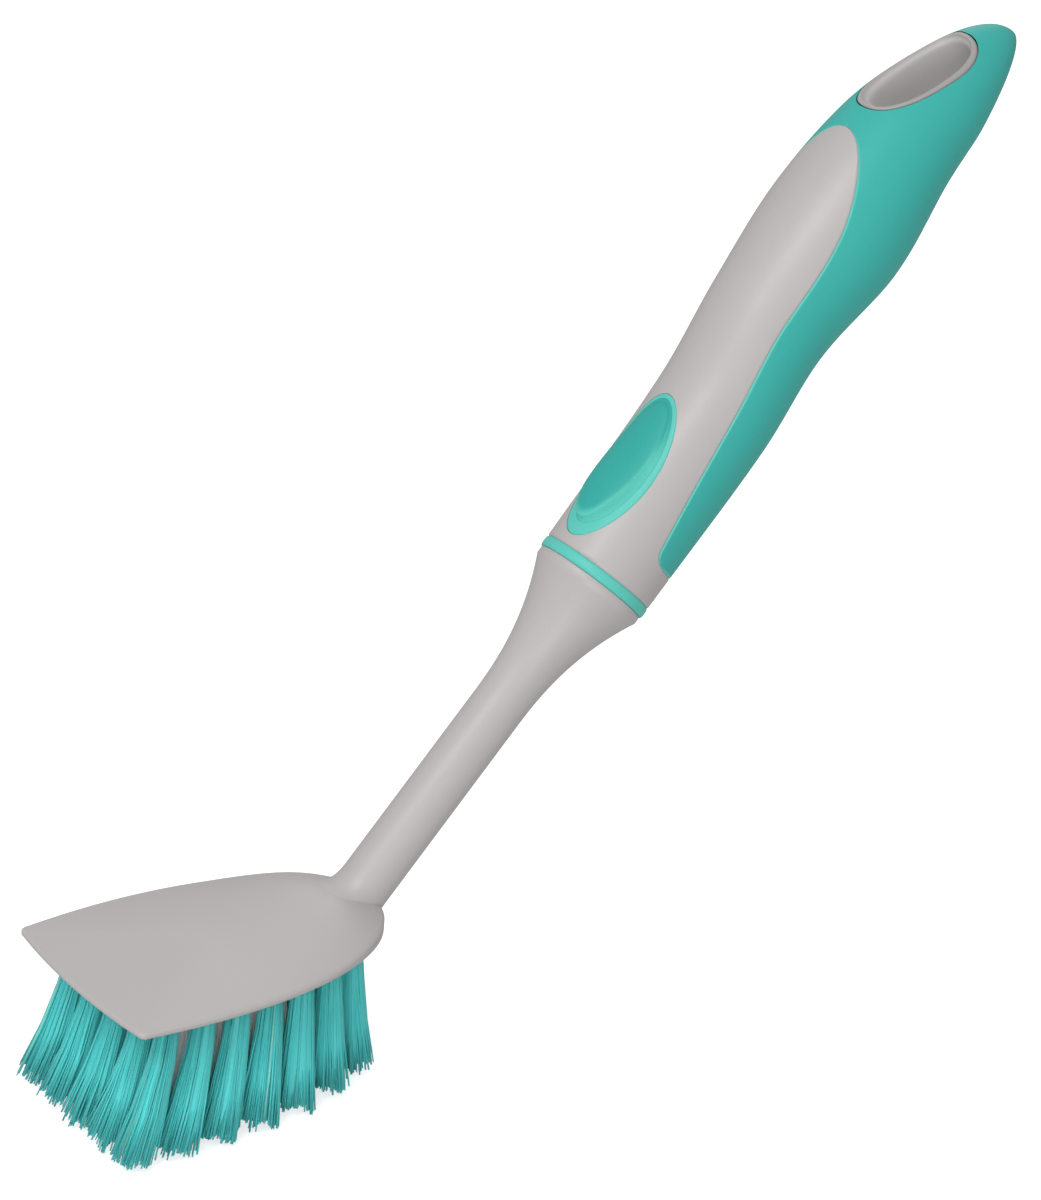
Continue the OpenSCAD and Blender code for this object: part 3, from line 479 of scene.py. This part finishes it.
def makeTongue():
    # collar rows go all the way round; beyond the skin's start only the tongue is left
    mouth, skinStart = grip["mouthX"], grip["skinStart"]
    x = np.concatenate([np.linspace(mouth, skinStart, 24)[:-1],
                        skinStart + (grip["tongueEnd"] - skinStart) * crowdEnds(240, 0.6)])[:, None]
    h = np.radians(np.maximum(halfTongue(np.maximum(x, skinStart)), 0.05))
    share = np.concatenate([[-1], np.linspace(-1, 1, 141), [1]])[None, :]
    angle = h * share
    arc = (h - np.abs(angle)) * gripRadius(x)
    dip = seamDip(np.where(x > skinStart, arc, farFromSeam))
    dip[:, [0, -1]] = np.where(x > skinStart, grip["seamWall"], 0)
    surface = gripPoints(x, angle, dip + mouthDip(x))
    tongue, faces = cutOval(surface.reshape(-1, 3), gridFaces(*surface.shape[:2]), button["x"],
                            button["length"], button["width"], 2, thumbOnly=True)
    # belly of the collar, as far as the skin, with a wall under the seam
    bellyX = np.append(np.linspace(mouth, skinStart, 24), skinStart)[:, None]
    bellyHalf = np.radians(halfTongue(skinStart))
    bellyAngle = (bellyHalf + (2 * np.pi - 2 * bellyHalf) * np.linspace(0, 1, 80))[None, :]
    bellyDip = seamDip(skinStart - bellyX) + mouthDip(bellyX)
    bellyDip[-1] = grip["seamWall"]
    belly = gripPoints(bellyX, bellyAngle, bellyDip + 0 * bellyAngle)
    bellyFaces = gridFaces(*belly.shape[:2], start=len(tongue))
    start = len(tongue) + belly.shape[0] * belly.shape[1]
    outerRadius = float(gripRadius(mouth)) - grip["mouthRound"]
    bore, boreFaces = turned([(mouth, outerRadius)] + grip["bore"], 96, flip=True, start=start)
    points = np.concatenate([tongue, belly.reshape(-1, 3), bore])
    faces = np.concatenate([faces, bellyFaces, boreFaces])
    addPiece("gripTongue", fromHandle(points), faces, "greyPlastic", "grip", ["grip_body"])


def loopPiece(name, loops, finish, body, replaces, caps=None, attributes=None):
    # loops of equal length joined into a skin: a closed band, or a lens between two end points
    if caps is None:
        loops = loops + loops[:1]
    else:
        loops = [0 * loops[0] + np.asarray(caps[0])] + loops + [0 * loops[0] + np.asarray(caps[1])]
    points = np.stack(loops)
    faces = gridFaces(*points.shape[:2], closed=True)
    addPiece(name, fromHandle(points.reshape(-1, 3)), faces, finish, body, replaces,
             attributes=attributes)


hangSlot = {
    "x": 124, "length": 26.8, "width": 15.8, "power": 2.4, "rim": 1.8, "gap": 0.3,
    # share of the way from the outer to the inner outline, and the depth below the grip's surface
    "lip": [(0, 1.4), (0, 0.22), (0.03, 0.06), (0.1, 0.0), (0.3, 0.02), (0.4, 0.1), (0.48, 0.3), (0.56, 0.66),
            (0.66, 1.1), (0.78, 1.55), (0.9, 2.05), (0.97, 2.6), (1, 3.3)],
}


def makeHangSleeve():
    # the profile runs over the thumb side's lip, down the channel and out at the finger side
    count = 220
    length, width, rim, power = (hangSlot[size] for size in ("length", "width", "rim", "power"))
    ox, oy = ovalPoints(hangSlot["x"], length, width, count, power)
    ix, iy = ovalPoints(hangSlot["x"], length - 2 * rim, width - 2 * rim, count, power)

    def loop(share, lower, side):
        x, y = ox + (ix - ox) * share, oy + (iy - oy) * share
        surface = thumbSide(x, y) if side > 0 else fingerSide(x, y)
        return np.stack([x, y, surface - side * lower], -1)

    lip = hangSlot["lip"]
    thumbLoops = [loop(share, lower, 1) for share, lower in lip]
    fingerLoops = [loop(share, lower, -1) for share, lower in reversed(lip)]
    waist = [(1 - t) * thumbLoops[-1] + t * fingerLoops[0] for t in np.linspace(0, 1, 14)[1:-1]]
    loops = thumbLoops + waist + fingerLoops
    # the lip has the sleeve's own grey, and the channel's wall is painted paler: painted light that lifts the
    # shade inside the slot
    channel = [float(smoothStep((share - 0.4) / 0.4)) for share, _ in lip]
    channel = channel + [1] * len(waist) + channel[::-1] + channel[:1]
    loopPiece("hangSleeve", loops, "sleevePlastic", "grip", ["hang_liner"],
              attributes={"channel": np.repeat(channel, count)})


button = {
    "x": 21.2, "length": 35.2, "width": 16.2, "gap": 0.05,
    "shift": 1.0, "openLength": 31.0, "openWidth": 13.6,
    # share of the way from the flange's outline to its opening, and the lift over the grip
    "flange": [(0, -1.3), (0, -0.2), (0.04, -0.05), (0.12, 0.02), (0.25, 0.05), (0.6, 0.03), (0.85, 0.0),
               (0.99, 0.0), (1, -0.02), (1, -2.3)],
    "webGap": 0.015, "webStep": 0.34, "webEdge": 0.4, "webThicken": 0.5, "fadeStart": 2.0, "fadeLength": 9.0,
    "padLength": 29.2, "padWidth": 11.8, "padRise": 2.5, "padCrown": 0.35, "padDepth": 2.0,
    "padShares": [1.0, 0.99, 0.975, 0.95, 0.92, 0.88, 0.82, 0.7, 0.55, 0.38, 0.2, 0.06],
    "padRound": 0.36, "roundShare": 0.12, "rimShare": 0.13, "padDish": 0.25,
}
padX = button["x"] + button["shift"]


def padHeight(x):
    # the pad's rise over the grip: high in front, with a soft start, and falling towards the tail
    t = np.clip((x - padX) / button["padLength"] + 0.5, 0, 1)
    return button["padRise"] * (0.1 + 0.9 * (1 - t) ** 1.3) * (0.7 + 0.3 * smoothStep(4 * t))


def tealAndHighlightShare(x):
    # the pale band narrows towards the tail, where the web has the pad's colour; it is partly the frame's own
    # lighter teal and partly a painted highlight along the front bevel
    return 1 - smoothStep((x - padX - button["fadeStart"]) / button["fadeLength"])


def buttonOutline(cx, length, width, gap=0.0):
    # an oval drawn in by the gap all round
    return ovalPoints(cx, length - 2 * gap, width - 2 * gap, 200)


def between(outer, inner, share):
    # points part of the way from one outline to another
    return [a + (b - a) * share for a, b in zip(outer, inner)]


def onThumbSide(x, y, lift):
    # points at a lift over the grip's surface
    return np.stack([x, y, thumbSide(x, y) + lift], -1)


def makeFlange():
    # a soft lip at the seam, a gentle crown to the opening, and a wall that stays beside the pressed web
    outer = buttonOutline(button["x"], button["length"], button["width"], button["gap"])
    inner = buttonOutline(padX, button["openLength"], button["openWidth"])
    loops = [onThumbSide(*between(outer, inner, share), lift) for share, lift in button["flange"]]
    loopPiece("buttonFlange", loops, "lightTealRubber", "grip", ["button_frame"])


def makeWeb():
    # a soft curve from the flange to the pad, thin at its edge so that it clears the mouth when pressed
    outer = buttonOutline(padX, button["openLength"], button["openWidth"], button["webGap"])
    inner = buttonOutline(padX, button["padLength"], button["padWidth"])
    top = [(share, 0) for share in np.linspace(0, 1, 11)]
    under = [(share, button["webEdge"] + button["webThicken"] * share) for share in np.linspace(1, 0, 5)]
    loops, pale = [], []
    for share, depth in top + under:
        x, y = between(outer, inner, share)
        rise = (padHeight(inner[0]) - button["webStep"]) * (0.7 * share ** 1.8 + 0.3 * share)
        loops.append(onThumbSide(x, y, rise - depth))
        # the web's front is painted pale: partly the frame's teal, partly a painted highlight
        pale.append(tealAndHighlightShare(x))
    loopPiece("buttonWeb", loops, "padRubber", "button", ["button_web"],
              attributes={"padRimTealAndHighlight": np.concatenate(pale + pale[:1])})


def makePad():
    # crowned over the web, with a soft edge and a shallow dish for the thumb
    px, py = buttonOutline(padX, button["padLength"], button["padWidth"])
    loops = [onThumbSide(px, py, padHeight(px) - button["padDepth"])]
    for share in button["padShares"]:
        x, y = padX + (px - padX) * share, py * share
        edge = button["padRound"] * (1 - min((1 - share) / button["roundShare"], 1)) ** 2
        dish = button["padDish"] * (1 - smoothStep((share - 0.1) / 0.6))
        loops.append(onThumbSide(x, y, padHeight(x) + button["padCrown"] * (1 - share ** 2) - edge - dish))
    middle = float(thumbSide(np.array(padX), 0.0)) + float(padHeight(padX))
    caps = [[padX, 0, middle - button["padDepth"]],
            [padX, 0, middle + button["padCrown"] - button["padDish"]]]
    # the pad's outer rim is painted pale at the front: partly the frame's teal, partly a painted highlight
    # fading towards the tail
    rim = [1 - float(smoothStep((1 - share) / button["rimShare"])) for share in button["padShares"]]
    rim = np.array([1, 1] + rim + [0])[:, None] * tealAndHighlightShare(px)
    loopPiece("buttonPad", loops, "padRubber", "button", ["button_pad"], caps, {"padRimTealAndHighlight": rim})


def threadRidge(thread):
    # a trapezoid carried along a helix round the neck's axis
    steps = int(thread["turns"] * 48) + 1
    a = np.linspace(0, 2 * np.pi * thread["turns"], steps)[:, None]
    rootHalf, crestHalf = thread["pitch"] / 4, thread["crestWidth"] / 2
    radius = np.array([thread["root"], thread["crest"], thread["crest"], thread["root"]])[None, :] + 0 * a
    offset = np.array([-rootHalf, -crestHalf, crestHalf, rootHalf])[None, :]
    along = thread["start"] + thread["pitch"] * a / (2 * np.pi) + offset
    points = np.stack([along, radius * np.sin(a), -radius * np.cos(a)], -1)
    last = 4 * (steps - 1)
    ends = np.array([[0, 1, 2, 3], [last + 3, last + 2, last + 1, last]])
    return points.reshape(-1, 3), np.concatenate([gridFaces(steps, 4, closed=True, flip=True), ends])


sealRing = {
    # distance from the ring's middle and radius of the bulging half; the other half mirrors it
    "bulge": [(0, 13.0), (0.4, 12.99), (0.85, 12.94), (1.1, 12.82), (1.2, 12.6)],
    "boreRadius": 9.05,
}


def makeSealRing():
    # the bulging half, its mirror image and the bore, turned round the axis
    half = sealRing["bulge"]
    inside = [(half[-1][0], sealRing["boreRadius"]), (-half[-1][0], sealRing["boreRadius"])]
    outside = [(-x, radius) for x, radius in half[:0:-1]] + half
    points, faces = turned(inside[1:] + outside + inside)
    addPiece("sealRing", fromHandle(points), faces, "lightTealRubber", "ring",
             ["seal_ring"])


# Head plate and neck

plate = {
    "reach": 63.0, "rear": 6.4, "edgeWidth": 47.5, "width": 50.2, "widest": 20.0, "rearPower": 2.2,
    "corner": 1.5, "bow": 1.6, "edge": 1.4, "crown": 2.4, "swell": 5.2, "rearThick": 1.4,
    # the top edge's round: its drop, its share of the way in, and the shares of its rows
    "round": 0.35, "roundShare": 0.02, "roundRows": [0, 0.0018, 0.006, 0.012, 0.0216], "underRound": 0.25,
}
plateLength = plate["reach"] + plate["rear"]
plateMid = -plate["reach"] / 2
neck = {
    "radius": 5.8, "rim": 12.6, "flare": 31.5, "power": 2.3, "rimLength": 1.6, "rimEnd": -1.2,
    "fillet": 3.2, "fadeShare": 0.2,
    # distance from the ring and radius: round the rim, along the spigot and down the soap channel
    "end": [(-1.8, 12.6), (-1.45, 12.58), (-1.28, 12.5), (-1.2, 12.3), (-1.2, 9.0), (8.7, 9.0), (9.1, 8.9),
            (9.2, 8.6), (9.2, 7.5), (7.6, 7.45), (7.6, 4.75), (-1.2, 4.75), (-30, 2.2), (-30, 0)],
    "thread": {"root": 8.9, "crest": 9.9, "start": 3.2, "turns": 1.5, "pitch": 2.5, "crestWidth": 0.4},
}


def halfWidth(s):
    # at a distance from the scraping edge: a quarter sine to the widest place, then a superellipse
    s = np.asarray(s, float)
    widest, power = plate["widest"], plate["rearPower"]
    quarter = np.sin(np.pi / 2 * np.maximum(s, 0) / widest)
    front = plate["edgeWidth"] / 2 + (plate["width"] - plate["edgeWidth"]) / 2 * quarter
    past = np.maximum((s - widest) / (plateLength - widest), 0)
    rear = plate["width"] / 2 * np.maximum(1 - past ** power, 0) ** (1 / power)
    return np.where(s < widest, front, rear)


def plateOutline():
    # half from the middle of the scraping edge to the rear, then its mirror image
    widest, power = plate["widest"], plate["rearPower"]
    straight = plate["edgeWidth"] / 2 - plate["corner"]
    y1 = np.linspace(0, straight, 30)[:-1]
    x1 = -plate["reach"] - plate["bow"] * (1 - (y1 / straight) ** 2)
    a = np.radians(np.linspace(90, 0, 14))
    x2 = -plate["reach"] + plate["corner"] * (1 - np.sin(a))
    y2 = float(halfWidth(plate["corner"])) + plate["corner"] * (np.cos(a) - 1)
    s3 = np.linspace(plate["corner"], widest, 24)[1:-1]
    b = np.linspace(np.pi / 2, 0, 90)
    x4 = widest - plate["reach"] + (plateLength - widest) * np.cos(b).clip(0) ** (2 / power)
    y4 = plate["width"] / 2 * np.sin(b) ** (2 / power)
    x = np.concatenate([x1, x2, s3 - plate["reach"], x4])
    y = np.concatenate([y1, y2, halfWidth(s3), y4])
    return np.concatenate([x, x[-2:0:-1]]), np.concatenate([y, -y[-2:0:-1]])


def plateTop(x, share):
    # a crown over the edge that grows from the front, and a swelling towards the shaft
    s = x + plate["reach"]
    return (plate["edge"] + plate["rearThick"] * smoothStep((s - 0.6 * plateLength) / (0.4 * plateLength))
            + plate["crown"] * (0.35 + 0.65 * smoothStep(2.5 * s / plateLength)) * (1 - share ** 2)
            + plate["swell"] * smoothStep((s - 0.4 * plateLength) / (0.5 * plateLength)) * (1 - share ** 3))


def platePoints(x, y):
    # the outline drawn in towards the plate's middle: out over the crown, down the wall and in underneath
    shares = np.concatenate([1 - np.array(plate["roundRows"]), np.linspace(0.97, 0.0, 60)])[:, None]
    px, py = plateMid + (x - plateMid) * shares, y * shares
    edgeDrop = plate["round"] * (1 - np.clip((1 - shares) / plate["roundShare"], 0, 1)) ** 2
    upper = np.stack([px, py, plateTop(px, shares) - edgeDrop], -1)
    wall = np.stack([x, y, np.full_like(x, plate["underRound"])], -1)[None]
    under = [np.stack([plateMid + (x - plateMid) * share, y * share, np.zeros_like(x)], -1)[None]
             for share in (0.993, 0.5, 0)]
    return np.concatenate([upper[::-1], wall] + under)


def makeTopHeight(x, y):
    # the plate's height over any point, and how far that point is from the middle to the outline
    angle = np.arctan2(y, x - plateMid)
    order = np.argsort(angle)
    reach = np.hypot(x - plateMid, y)

    def edgeShare(qx, qy):
        outline = np.interp(np.arctan2(qy, qx - plateMid), angle[order], reach[order])
        return np.hypot(qx - plateMid, qy) / outline

    def topHeight(qx, qy):
        return plateTop(qx, np.clip(edgeShare(qx, qy), 0, 1))

    return topHeight, edgeShare


def neckPoints(topHeight, edgeShare):
    # rows round the shaft: a fillet from the plate's top, the shaft, the flare and the spigot's profile
    a = np.linspace(0, 2 * np.pi, 128, endpoint=False)
    ringWay = -np.sin(a)[:, None] * acrossWay + np.cos(a)[:, None] * thumbWay
    generator = neck["radius"] * ringWay
    # where each line of the shaft meets the plate's top, found by stepping along the line
    along = np.full(len(a), 8.0)
    for _ in range(12):
        p = generator + along[:, None] * shaftWay
        along = along + (topHeight(p[:, 0], p[:, 1]) - p[:, 2]) / shaftWay[2]
    corner = generator + along[:, None] * shaftWay
    outWay = np.stack([corner[:, 0] - corner[:, 0].mean(), corner[:, 1], 0 * a], -1)
    outWay /= np.linalg.norm(outWay, axis=1)[:, None]
    # the fillet fades out where the shaft runs over the plate's rear edge; its lines go straight down there
    onPlate = smoothStep((1 - edgeShare(corner[:, 0], corner[:, 1])) / neck["fadeShare"])
    room = neck["fillet"] * onPlate + 0.05
    foot = corner + outWay * room[:, None]
    foot[:, 2] = topHeight(foot[:, 0], foot[:, 1]) - 0.03
    low = corner - shaftWay * ((corner[:, 2] - 0.1) / shaftWay[2])[:, None]
    foot = foot * onPlate[:, None] + low * (1 - onPlate[:, None])
    rise = corner + shaftWay * (room * 1.5)[:, None]
    t = np.linspace(0, 1, 12)[:, None, None]
    fillet = (1 - t) ** 2 * foot + 2 * t * (1 - t) * corner + t * t * rise
    # radius and distance of every row above it
    flareStart = neckLength + neck["rimEnd"] - neck["rimLength"] - neck["flare"]
    filletTop = rise @ shaftWay
    opening = neck["rim"] - neck["radius"]
    rows = [(neck["radius"], filletTop + (flareStart - filletTop) * k) for k in np.linspace(0, 1, 24)[1:]]
    rows += [(neck["radius"] + opening * k ** neck["power"], flareStart + neck["flare"] * k)
             for k in np.linspace(0, 1, 40)[1:]]
    rows += [(radius, neckLength + distance) for distance, radius in neck["end"]]
    shaft = [radius * ringWay + (distance + 0 * a)[:, None] * shaftWay for radius, distance in rows]
    return np.concatenate([fillet, np.stack(shaft)])


def makeHead():
    # the plate and the neck as sheets of one moulding, with the thread's ridge on the spigot
    x, y = plateOutline()
    sheets = [platePoints(x, y), neckPoints(*makeTopHeight(x, y))]
    points, faces, start = [], [], 0
    for sheet in sheets:
        rows, count = sheet.shape[:2]
        points.append(sheet.reshape(-1, 3))
        faces.append(gridFaces(rows, count, closed=True, start=start))
        start += rows * count
    ridge, ridgeFaces = threadRidge(neck["thread"])
    points.append((neckLength + ridge[:, :1]) * shaftWay + ridge[:, 1:2] * acrossWay
                  + ridge[:, 2:] * thumbWay)
    faces.append(ridgeFaces + start)
    addPiece("headMoulding", fromHead(np.concatenate(points)), np.concatenate(faces),
             "greyPlastic", "head", ["head_moulding"])


# Bristles

bristles = {
    "rows": 7, "firstRow": 10.4, "rowPitch": 8.2, "pitch": 8.0, "inset": 7.6, "outletRow": 3,
    "blockInset": 4.5, "blockPower": 0.4, "reach": 2.2,
    "rootRadius": 2.15, "tipRadius": 4.1, "leanFront": 8.0, "leanBack": 2.4, "leanSide": 1.5,
    "drop": 2.0, "length": 32.0, "ragged": 3.0, "count": 190, "thickness": 0.23, "seed": 20,
    "bend": 0.35, "strayShare": 0.05, "strayBend": 0.9, "strayShort": 2.5,
    "coreShare": 0.97, "coreEnd": 0.92, "coreTurns": 24, "coreRows": 7,
}


def blockHalf(s):
    # half the width of the bristle block: the plate's less its margin, and a squarer curve at the rear
    margin, power = bristles["blockInset"], plate["rearPower"] + bristles["blockPower"]
    if s < plate["widest"]:
        return float(halfWidth(s)) - margin
    t = (s - plate["widest"]) / (plateLength - margin - plate["widest"])
    return (plate["width"] / 2 - margin) * max(1 - t ** power, 0) ** (1 / power)


def tuftRows():
    # rows along the plate; each row is filled from side to side at the least pitch
    for k in range(bristles["rows"]):
        s = bristles["firstRow"] + bristles["rowPitch"] * k
        withinBlock = blockHalf(s + bristles["reach"]) - bristles["reach"]
        half = min(float(halfWidth(s)) - bristles["inset"], withinBlock)
        count = int(2 * half / bristles["pitch"]) + 1
        for j in range(count):
            y = 0 if count < 2 else half * (2 * j / (count - 1) - 1)
            if k == bristles["outletRow"] and abs(y) < 0.1:
                continue
            inner = 0 < k < bristles["rows"] - 2 and 0 < j < count - 1
            yield k, j, s - plate["reach"], y, inner


def tuftLine(x, y, leanX, leanY, share):
    # a tuft's width and the drift of its middle at a share of its length
    wide = bristles["rootRadius"] + (bristles["tipRadius"] - bristles["rootRadius"]) * share
    bend = 0.45 * share + 0.55 * share ** 2
    return wide, x + leanX * bend, y + leanY * bend


def makeStrands(line, random):
    # three-sided strands start in a disc, open like a fan and end unevenly, in clumps that share a length
    count = bristles["count"]
    radius = np.sqrt(random.random(count))
    around = random.random(count) * 2 * np.pi
    rootX, rootY = radius * np.cos(around), radius * np.sin(around)
    clump = np.sin(rootX * 4.1 + random.random() * 6) * np.cos(rootY * 3.7 + random.random() * 6)
    uneven = 0.5 + 0.45 * np.sign(clump) * np.abs(clump) ** 0.6 + 0.16 * (random.random(count) - 0.5)
    drop = bristles["length"] - bristles["ragged"] * np.clip(uneven, 0, 1) - 0.05
    stray = random.random(count) < bristles["strayShare"]
    bends = [random.normal(0, bristles["bend"], count)
             + np.where(stray, random.normal(0, bristles["strayBend"], count), 0) for _ in range(2)]
    drop = drop - np.where(stray, random.random(count) * bristles["strayShort"], 0)
    share = np.array([0, 0.3, 0.65, 1])[:, None]
    wide, midX, midY = line(share)
    centreX = midX + rootX * wide + bends[0] * share ** 2
    centreY = midY + rootY * wide + bends[1] * share ** 2
    centreZ = -bristles["drop"] + 0.1 - (drop - bristles["drop"]) * share
    thick = bristles["thickness"] * (1 - 0.1 * share) * (0.8 + 0.4 * random.random(count))
    turn = random.random(count) * 2 * np.pi
    corner = (np.arange(3) * 2 * np.pi / 3)[None, None, :] + turn[None, :, None]
    points = np.stack([
        centreX[..., None] + thick[..., None] * np.cos(corner),
        centreY[..., None] + thick[..., None] * np.sin(corner),
        centreZ[..., None] + 0 * corner], -1)
    # faces between the levels of each strand, then its tip and its root
    sizes = (len(share) - 1, count, 3)
    level, strand, side = np.meshgrid(*(np.arange(size) for size in sizes), indexing="ij")
    a = (level * count + strand) * 3 + side
    b = (level * count + strand) * 3 + (side + 1) % 3
    faces = np.stack([a, a + 3 * count, b + 3 * count, b], -1).reshape(-1, 4)
    last = (sizes[0] * count + np.arange(count)) * 3
    tips = np.stack([last, last + 2, last + 1], -1)
    roots = np.stack([3 * np.arange(count) + m for m in range(3)], -1)
    tone = np.broadcast_to(random.random(count)[None, :, None], points.shape[:3])
    along = np.broadcast_to(share[:, :, None], points.shape[:3])
    # no strand goes through the floor or far past the plate's sides
    points[..., 2] = np.maximum(points[..., 2], 0.02 - headFoot[2])
    limit = plate["width"] / 2 + 0.6
    points[..., 1] = np.clip(points[..., 1], -limit, limit)
    faces = np.concatenate([faces[:, [0, 1, 2]], faces[:, [0, 2, 3]], tips, roots])
    return points.reshape(-1, 3), faces, tone.ravel(), along.ravel()


def makeCore(line, random, start):
    # the tuft's packed middle, which closes the gaps behind the outer strands
    rows = np.linspace(0, bristles["coreEnd"], bristles["coreRows"])[:, None]
    wide, midX, midY = line(rows)
    wide = wide * bristles["coreShare"] * (1 - 0.25 * smoothStep((rows - 0.6) / 0.4))
    turns = np.linspace(0, 2 * np.pi, bristles["coreTurns"], endpoint=False)[None, :]
    depth = -bristles["drop"] + 0.1 - (bristles["length"] - bristles["drop"]) * rows
    core = np.stack([midX + wide * np.cos(turns), midY + wide * np.sin(turns), depth + 0 * turns], -1)
    ends = np.stack([core[0] * 0 + core[0].mean(0), core[-1] * 0 + core[-1].mean(0)])
    core = np.concatenate([ends[:1], core, ends[1:]])
    faces = gridFaces(len(core), bristles["coreTurns"], closed=True, start=start, flip=True)
    faces = np.concatenate([faces[:, [0, 1, 2]], faces[:, [0, 2, 3]]])
    tone = np.tile(random.random(bristles["coreTurns"]) * 0.5 + 0.2, len(core))
    along = np.repeat(np.concatenate([[0], rows[:, 0], [1]]), bristles["coreTurns"])
    return core.reshape(-1, 3), faces, tone, along


def makeTuft(k, j, x, y, inner, random):
    # tufts lean forwards in front, a little back at the rear, and out to the sides
    row = k / (bristles["rows"] - 1)
    leanX = bristles["leanBack"] * row - bristles["leanFront"] * (1 - row)
    leanY = y / (plate["width"] / 2 - bristles["inset"]) * bristles["leanSide"]

    def line(share):
        return tuftLine(x, y, leanX, leanY, share)

    strands = makeStrands(line, random)
    core = makeCore(line, random, len(strands[0]))
    points, faces, tone, along = (np.concatenate(pair) for pair in zip(strands, core))
    tint = "grey" if inner else "teal"
    addPiece("bristles%d%d" % (k + 1, j + 1), fromHead(points), faces, tint + "Bristles", "head",
             ["tuft_%s_%d_%d" % (tint, k + 1, j + 1)], weld=0,
             attributes={"strandTone": tone, "strandShare": along})


def makeBristles():
    # one random source for all tufts, drawn from row by row
    random = np.random.default_rng(bristles["seed"])
    for k, j, x, y, inner in tuftRows():
        makeTuft(k, j, x, y, inner, random)


def dressNodes():
    # CAD nodes whose shape is right keep it and get their finish
    kept = {
        "bristle_block": "greyPlastic", "outlet_nozzle": "tealRubber", "tuft_staples": "stapleSteel",
        "slit_valve": "clearSilicone", "valve_retainer": "greyPlastic",
    }
    for node, finish in kept.items():
        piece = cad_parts[node]
        if not piece.material_slots:
            piece.data.materials.append(finishes[finish])
        for place in piece.material_slots:
            place.material = finishes[finish]


# Camera and studio

studio = {
    # the camera's place in mm from the foot of the shaft, and its own axes
    "cameraInHead": (-422.807, -587.862, 404.573),
    "cameraAxes": ((0.8055226, -0.5872879, 0.07890672),
                   (0.18752489, 0.3789653, 0.90621174),
                   (-0.56211009, -0.71517706, 0.41539621)),
    "focalPixels": 4000, "framePixels": 1041, "sensor": 36,
    "world": 0.48, "floor": 0.66, "floorGlow": 0.72,
    # place and aim in metres, size in metres and power in watts
    "lamps": {
        "keyLamp": ((-0.65, -0.3, 0.95), (0, 0, 0.1), 0.5, 4.8),
        "fillLamp": ((-0.8, -0.9, 0.12), (0, 0, 0.05), 0.6, 4.2),
        "backLamp": ((0.6, 0.7, 0.7), (0, 0, 0.1), 0.6, 1.3),
    },
}


def makeCamera():
    # fitted to the photograph's plate corners, shaft and ring
    place = (headFoot + np.array(studio["cameraInHead"])) * mm
    lens = bpy.data.cameras.new("camera")
    lens.sensor_fit = "HORIZONTAL"
    lens.sensor_width = studio["sensor"]
    lens.lens = studio["focalPixels"] / studio["framePixels"] * studio["sensor"]
    lens.clip_end = 20
    camera = bpy.data.objects.new("camera", lens)
    bpy.context.scene.collection.objects.link(camera)
    turn = Matrix(studio["cameraAxes"]).transposed().to_4x4()
    camera.matrix_world = Matrix.Translation(place.tolist()) @ turn
    bpy.context.scene.camera = camera


def addLamp(name, place, aim, size, power):
    # a round lamp at its place that faces its aim
    lamp = bpy.data.lights.new(name, "AREA")
    lamp.shape = "DISK"
    lamp.size = size
    lamp.energy = power
    holder = bpy.data.objects.new(name, lamp)
    bpy.context.scene.collection.objects.link(holder)
    way = np.array(place) - np.array(aim)
    holder.location = place
    holder.rotation_euler = Vector(way.tolist()).to_track_quat("Z", "Y").to_euler()


def makeWorld():
    # the backdrop is white where the camera sees it, and gives the plain light elsewhere
    world = bpy.data.worlds.new("studio")
    bpy.context.scene.world = world
    world.use_nodes = True
    tree = world.node_tree
    background = tree.nodes["Background"]
    background.inputs["Color"].default_value = (1, 1, 1, 1)
    path = tree.nodes.new("ShaderNodeLightPath")
    strength = tree.nodes.new("ShaderNodeMapRange")
    strength.inputs["To Min"].default_value = studio["world"]
    strength.inputs["To Max"].default_value = 1
    link(tree, path.outputs["Is Camera Ray"], strength.inputs["Value"])
    link(tree, strength.outputs["Result"], background.inputs["Strength"])


def makeFloor():
    # paper that keeps the shadow and is white where the camera sees it lit
    bpy.ops.mesh.primitive_plane_add(size=8, location=(0, 0, -0.0002))
    floor = bpy.context.object
    floor.name = "floor"
    material, tree, bsdf = newMaterial("floorPaper")
    bsdf.inputs["Base Color"].default_value = (studio["floor"],) * 3 + (1,)
    bsdf.inputs["Roughness"].default_value = 0.9
    bsdf.inputs["Specular IOR Level"].default_value = 0
    bsdf.inputs["Emission Color"].default_value = (1, 1, 1, 1)
    path = tree.nodes.new("ShaderNodeLightPath")
    glow = calculate(tree, "MULTIPLY", path.outputs["Is Camera Ray"], studio["floorGlow"])
    link(tree, glow, bsdf.inputs["Emission Strength"])
    floor.data.materials.append(material)


bpy.context.scene.view_settings.view_transform = "Standard"
makeCamera()
makeWorld()
for name, values in studio["lamps"].items():
    addLamp(name, *values)
makeFloor()
print("camera and studio ready")
makeSpine()
makeTongue()
makeHangSleeve()
makeFlange()
makeWeb()
makePad()
makeSealRing()
print("grip ready")
makeHead()
print("head ready")
makeBristles()
dressNodes()
print("bristles ready")
